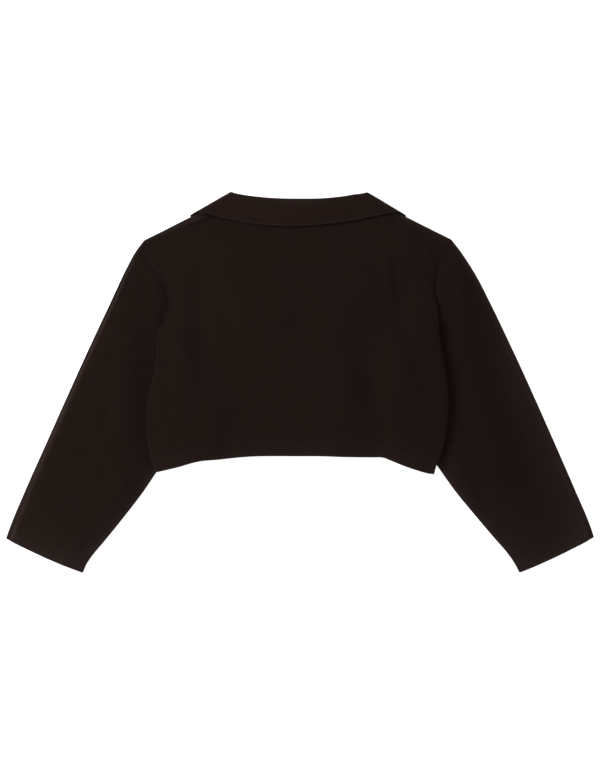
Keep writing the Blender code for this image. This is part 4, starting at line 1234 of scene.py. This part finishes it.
# Stitches along lines of points and normals: each one a six-sided capsule with its own frame of
# along, across and top; ring points = centre + along place - top dip + radius (across cos + top sin).
def makeStitches(name, lines, closed=False):
    centres, alongs, tops = [], [], []
    for points, normals in lines:
        s = lengthAlong(points)
        start = 0.0 if closed else stitch["clear"]
        count = int((s[-1] - 2 * start) / stitch["pitch"])
        at = start + (np.arange(count) + 0.5) * (s[-1] - 2 * start) / count
        centres.append(pointsAt(points, s, at))
        before, after = (pointsAt(points, s, at + step) for step in (-stitch["reach"], stitch["reach"]))
        alongs.append(unit(after - before))
        tops.append(unit(pointsAt(normals, s, at)))
    centre, along, top = (np.concatenate(part)[:, None, None] for part in (centres, alongs, tops))
    across = unit(np.cross(top, along))
    top = np.cross(along, across)
    places, shares, dips = (part[None, :, None, None] for part in np.array(stitch["rings"]).T)
    sides, rings = stitch["sides"], len(stitch["rings"])
    turn = np.linspace(0, 2 * np.pi, sides, endpoint=False)[None, None, :, None]
    points = centre + along * places * stitch["length"] / 2 - top * (dips + stitch["sunk"])
    points = points + stitch["radius"] * shares * (across * np.cos(turn) + top * np.sin(turn))
    points[..., 2] = np.maximum(points[..., 2], stitch["lowest"])
    quads, uvCorners = gridQuads(rings, sides, closed=True)
    last = (rings - 1) * sides
    caps = np.array(((0, 3, 2, 1), (0, 5, 4, 3),
                     (last, last + 1, last + 2, last + 3), (last, last + 3, last + 4, last + 5)))
    quads = np.concatenate((quads, caps)) + (np.arange(len(centre)) * rings * sides)[:, None, None]
    ringPlaces = np.array(stitch["rings"])[:, :1] * stitch["length"] / 2
    uv = np.stack(np.broadcast_arrays(ringPlaces, np.arange(sides + 1) / sides), axis=-1).reshape(-1, 2)
    corners = np.concatenate((uv[uvCorners], np.zeros((len(caps), 4, 2))))
    corners = np.broadcast_to(corners, (len(centre),) + corners.shape).reshape(-1, 2)
    return meshFrom(name, points.reshape(-1, 3), quads.reshape(-1, 4), corners, np.zeros(points.size // 3))


# the collar's edge stitching: along the fall at a distance from its edge, blended between the rows before
# and after it, and up its two front ends
def collarStitchLines(points, normals, fromEdge, fromEnd):
    at = collar["edgeStitch"]
    column = np.arange(len(points))
    row = (fromEdge > at).sum(axis=1)
    before, after = (column, row - 1), (column, row)
    t = ((fromEdge[before] - at) / (fromEdge[before] - fromEdge[after]))[:, None]
    edge, edgeTop = mix(points[before], points[after], t), unit(mix(normals[before], normals[after], t))
    first = int((fromEnd[:len(points) // 2, -1] < at).sum())
    kept = slice(first, len(points) - first)
    lines = [(edge[kept], edgeTop[kept])]
    top = collar["standRows"] + collar["rollRows"] + 1
    for end in (first, len(points) - 1 - first):
        lines.append((points[end, top:row[end]], normals[end, top:row[end]]))
    return lines


print("back")
plan = bodyPlan()
loft = bodyLoft(plan)
press = sidePress(plan)
frontLift = foldHeights(plan[..., 0], plan[..., 1], body["frontFolds"])
frontLift = np.minimum(frontLift, cloth["liftShare"] * loft)
back, *backFace = makeBack(plan, loft, press)
layers = {back: "body_knit"}

print("fronts")
middleColumn = plan.shape[1] // 2
frontFaces, shoulderLines = {}, {}
for side, half in (("left", np.s_[:, middleColumn::-1]), ("right", np.s_[:, middleColumn:])):
    front, *frontFaces[side], shoulderLines[side] = makeFront(
        side, plan[half], frontLift[half], loft[half], press[half])
    layers[front] = "body_knit"

print("sleeves")
sleeveFaces = {}
for side in halves:
    tube, *sleeveFaces[side] = makeSleeve(side)
    layers[tube] = "sleeve_knit"

print("collar")
folded, *collarFace = makeCollar()
layers[folded] = "collar_knit"

print("seams")
seams = dict.fromkeys(makeSeams(shoulderLines), "body_knit")

print("stitches")
fromHem = bodyLevels() * body["height"]
hemLines = [levelLine(fromHem, at, *face) for at in body["stitchLines"]
            for face in (backFace, frontFaces["left"], frontFaces["right"])]
stitches = {makeStitches("hem_stitches", hemLines): "body_knit"}
toCuff = (sleeveLevels() - 1) / (1 - sleeve["cuffStart"]) * cloth["cuffDepth"]
for side, face in sleeveFaces.items():
    closedFace = [np.concatenate((part, part[:, :1]), axis=1) for part in face]
    cuffLines = [levelLine(toCuff, -at, *closedFace) for at in sleeve["stitchLines"]]
    stitches[makeStitches("cuff_stitches_" + side, cuffLines, closed=True)] = "sleeve_knit"
stitches[makeStitches("collar_stitches", collarStitchLines(*collarFace))] = "collar_knit"


# one socket of a material; sums of wires and numbers add Math nodes
class Wire:
    def __init__(self, material, socket):
        self.material, self.socket = material, socket

    def __add__(self, other):
        return self.material.sum("ADD", self, other)

    def __radd__(self, other):
        return self.material.sum("ADD", other, self)

    def __sub__(self, other):
        return self.material.sum("SUBTRACT", self, other)

    def __rsub__(self, other):
        return self.material.sum("SUBTRACT", other, self)

    def __mul__(self, other):
        return self.material.sum("MULTIPLY", self, other)

    def __rmul__(self, other):
        return self.material.sum("MULTIPLY", other, self)

    def __truediv__(self, other):
        return self.material.sum("DIVIDE", self, other)

    def __rtruediv__(self, other):
        return self.material.sum("DIVIDE", other, self)


class Material:
    def __init__(self, name):
        self.made = bpy.data.materials.new(name)
        self.made.use_nodes = True
        self.tree = self.made.node_tree
        self.shader = self.tree.nodes["Principled BSDF"]

    # numbers, or links from wires, for a node's sockets by name or number
    def feed(self, node, sockets):
        for name, value in sockets.items():
            if isinstance(value, Wire):
                self.tree.links.new(value.socket, node.inputs[name])
            else:
                node.inputs[name].default_value = value

    # a node by its type: its settings first, then its sockets
    def node(self, kind, settings=None, sockets=None, output=0):
        made = self.tree.nodes.new(kind)
        for name, value in (settings or {}).items():
            setattr(made, name, value)
        self.feed(made, sockets or {})
        return Wire(self, made.outputs[output])

    # a Math node on one or two values
    def sum(self, operation, *values):
        return self.node("ShaderNodeMath", {"operation": operation}, dict(enumerate(values)))

    # the two directions of the piece's own uv map, in metres
    def grain(self):
        uv = self.node("ShaderNodeUVMap", {"uv_map": "grain"})
        first = self.node("ShaderNodeSeparateXYZ", sockets={0: uv})
        return first, Wire(self, first.socket.node.outputs[1])

    # a colour times a tone, which is the same in red, green and blue
    def toned(self, colour, tone):
        grey = self.node("ShaderNodeCombineColor", sockets={0: tone, 1: tone, 2: tone})
        return self.node("ShaderNodeMix", {"data_type": "RGBA", "blend_type": "MULTIPLY"},
                         {0: 1.0, 6: colour, 7: grey}, output=2)


knit = {
    "colour": (0.0099, 0.00535, 0.0044),
    # a lighter colour that the mask mixes in: wear, and painted highlight on rims and bands
    "wornAndLit": (0.0208, 0.0135, 0.0118, 1.0),
    # shade of the colour, width of one column of stitches, height of one row of them
    "gauges": {
        "body_knit": (1.0, 0.00125, 0.00095),
        "sleeve_knit": (1.0, 0.00125, 0.00095),
        "collar_knit": (1.26, 0.00115, 0.0009),
    },
    "slide": 0.55,  # turns by which a stitch starts later at the edge of its column
    "legPower": 0.7,  # rounds its two legs
    "wander": {"Scale": 120.0, "Detail": 2.0},
    "wanderShare": 0.35,  # of a column
    "fibre": {"Scale": 2600.0, "Detail": 3.0, "Roughness": 0.6},
    "fibreHeight": 0.35,
    "lie": {"Scale": 14.0, "Detail": 3.0, "Roughness": 0.55},
    "depth": 0.00028,
    "tone": {"lie": 0.25, "fibre": 0.5, "loops": 0.35},
    "wornAndLitShare": 0.9,
    "tuckedShadeShare": 0.8,
    "roughness": 0.82,
    "roughnessLie": 0.12,
    "specular": 0.08,
    "specularTint": (0.9, 0.62, 0.52, 1.0),
    "sheen": 0.2,
    "sheenRoughness": 0.45,
    "sheenTint": (0.62, 0.40, 0.34, 1.0),
}


# Stocking stitch: in each wale two legs lean to its middle, so the height is a sine across the wale
# times a sine along it, whose start slides with the distance from the wale's middle.
def makeKnit(name, shade, wale, course):
    m = Material(name)
    u, v = m.grain()
    spot = m.node("ShaderNodeTexCoord", output=3)
    wander, fibre, lie = (m.node("ShaderNodeTexNoise", sockets={"Vector": spot, **knit[part]})
                          for part in ("wander", "fibre", "lie"))
    across = m.sum("ABSOLUTE", m.sum("FRACT", u / wale + wander * knit["wanderShare"]) - 0.5) * 2
    legs = m.sum("SINE", across * np.pi)
    along = m.sum("SINE", (v / course + across * knit["slide"]) * (2 * np.pi)) * 0.5 + 0.5
    loops = m.sum("POWER", legs, knit["legPower"]) * (along * 0.5 + 0.5)
    height = loops + fibre * knit["fibreHeight"]
    bump = m.node("ShaderNodeBump", sockets={"Strength": 1.0, "Distance": knit["depth"], "Height": height})
    # the mask of wear and painted light: above 0 it mixes in the lighter colour, below 0 it darkens the
    # tone as painted shade
    wornAndLit = m.node("ShaderNodeAttribute", {"attribute_name": "wearAndPaintedLight"}, output=2)
    plain = tuple(shade * part for part in knit["colour"]) + (1.0,)
    base = m.node("ShaderNodeMix", {"data_type": "RGBA"},
                  {6: plain, 7: knit["wornAndLit"], 0: wornAndLit * knit["wornAndLitShare"]}, output=2)
    tuckedShade = m.sum("MINIMUM", wornAndLit, 0.0)  # below 0 the mask is painted shade, on cloth tucked into a crease or lying under an edge
    shares = knit["tone"]
    uneven = (lie - 0.5) * shares["lie"] + (fibre - 0.5) * shares["fibre"] + (loops - 0.5) * shares["loops"]
    tone = (uneven + 1.0) * (tuckedShade * knit["tuckedShadeShare"] + 1.0)
    m.feed(m.shader, {
        "Base Color": m.toned(base, tone),
        "Roughness": (lie - 0.5) * knit["roughnessLie"] + knit["roughness"],
        "Normal": bump,
        "Specular IOR Level": knit["specular"],
        "Specular Tint": knit["specularTint"],
        "Sheen Weight": knit["sheen"],
        "Sheen Roughness": knit["sheenRoughness"],
        "Sheen Tint": knit["sheenTint"],
    })
    return m.made


thread = {
    "colour": (0.0112, 0.0062, 0.0050, 1.0),
    "twist": 0.0007,  # length of one turn of the thread's two plies
    "tone": (0.7, 0.5),  # between the plies, and how much lighter they are
    "bump": 0.6,
    "depth": 0.0001,
    "roughness": 0.55,
    "specular": 0.1,
}


# twisted thread: a sine of the way along plus the turns round, so that the plies wind about it
def makeThread():
    m = Material("thread_finish")
    along, around = m.grain()
    turns = along / thread["twist"] + around * 1000  # its uv has one turn to the millimetre
    ply = m.sum("SINE", turns * (2 * np.pi)) * 0.5 + 0.5
    darkest, lighter = thread["tone"]
    height = {"Strength": thread["bump"], "Distance": thread["depth"], "Height": ply}
    m.feed(m.shader, {
        "Base Color": m.toned(thread["colour"], ply * lighter + darkest),
        "Normal": m.node("ShaderNodeBump", sockets=height),
        "Roughness": thread["roughness"],
        "Specular IOR Level": thread["specular"],
        "Specular Tint": knit["specularTint"],
    })
    return m.made


print("finishes")
finishes = {slotName: makeKnit(slotName + "_finish", *gauge) for slotName, gauge in knit["gauges"].items()}
threadFinish = makeThread()
for piece, slotName in {**layers, **seams, **stitches}.items():
    piece.data.materials.append(threadFinish if piece in stitches else finishes[slotName])
    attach(piece, "root")

# in metres and watts
studio = {
    "floorSize": 60.0,
    "floorHeight": -0.0004,
    "floorColour": (0.96, 0.96, 0.96, 1.0),
    "floorGlow": 0.75,  # keeps the floor white in the garment's own shade
    "floorRoughness": 0.9,
    "floorSpecular": 0.1,
    "white": (1.0, 1.0, 1.0, 1.0),
    "skyStrength": 0.3,
    # place, size, power
    "lamps": {"key": ((-2.6, 1.15, 1.04), 1.0, 126.0), "fill": ((2.3, -1.0, 0.8), 0.8, 27.0)},
    "frameHeight": 1.10925,  # from the top to the bottom of the view, at the floor
    "cameraHeight": 2.6,
    "sensor": 36.0,
}


# the floor: one square, half its size out to each side
def makeFloor():
    size, height = studio["floorSize"] / 2, studio["floorHeight"]
    mesh = bpy.data.meshes.new("floor")
    corners = [(x * size, y * size, height) for x, y in ((-1, -1), (1, -1), (1, 1), (-1, 1))]
    mesh.from_pydata(corners, [], [(0, 1, 2, 3)])
    floor = bpy.data.objects.new("floor", mesh)
    bpy.context.scene.collection.objects.link(floor)
    m = Material("floor_finish")
    m.feed(m.shader, {
        "Base Color": studio["floorColour"],
        "Roughness": studio["floorRoughness"],
        "Specular IOR Level": studio["floorSpecular"],
        "Emission Color": studio["white"],
        "Emission Strength": studio["floorGlow"],
    })
    mesh.materials.append(m.made)


# white sky, and round lamps that face the middle of the floor
def makeLight():
    scene = bpy.context.scene
    scene.world = bpy.data.worlds.new("studio")
    scene.world.use_nodes = True
    sky = scene.world.node_tree.nodes["Background"]
    sky.inputs["Color"].default_value = studio["white"]
    sky.inputs["Strength"].default_value = studio["skyStrength"]
    for name, (spot, size, power) in studio["lamps"].items():
        data = bpy.data.lights.new(name, "AREA")
        data.shape = "DISK"
        data.size = size
        data.energy = power
        lamp = bpy.data.objects.new(name, data)
        lamp.location = spot
        lamp.rotation_euler = (-lamp.location).to_track_quat("-Z", "Y").to_euler()
        scene.collection.objects.link(lamp)
    scene.view_settings.view_transform = "Standard"
    scene.view_settings.look = "None"


# a camera straight above: its lens over its sensor is its height over the height of the frame
def makeCamera():
    data = bpy.data.cameras.new("camera")
    data.sensor_width = studio["sensor"]
    data.lens = studio["sensor"] * studio["cameraHeight"] / studio["frameHeight"]
    camera = bpy.data.objects.new("camera", data)
    camera.location = (0.0, 0.0, studio["cameraHeight"])
    bpy.context.scene.collection.objects.link(camera)
    bpy.context.scene.camera = camera


print("studio")
makeFloor()
makeLight()
makeCamera()
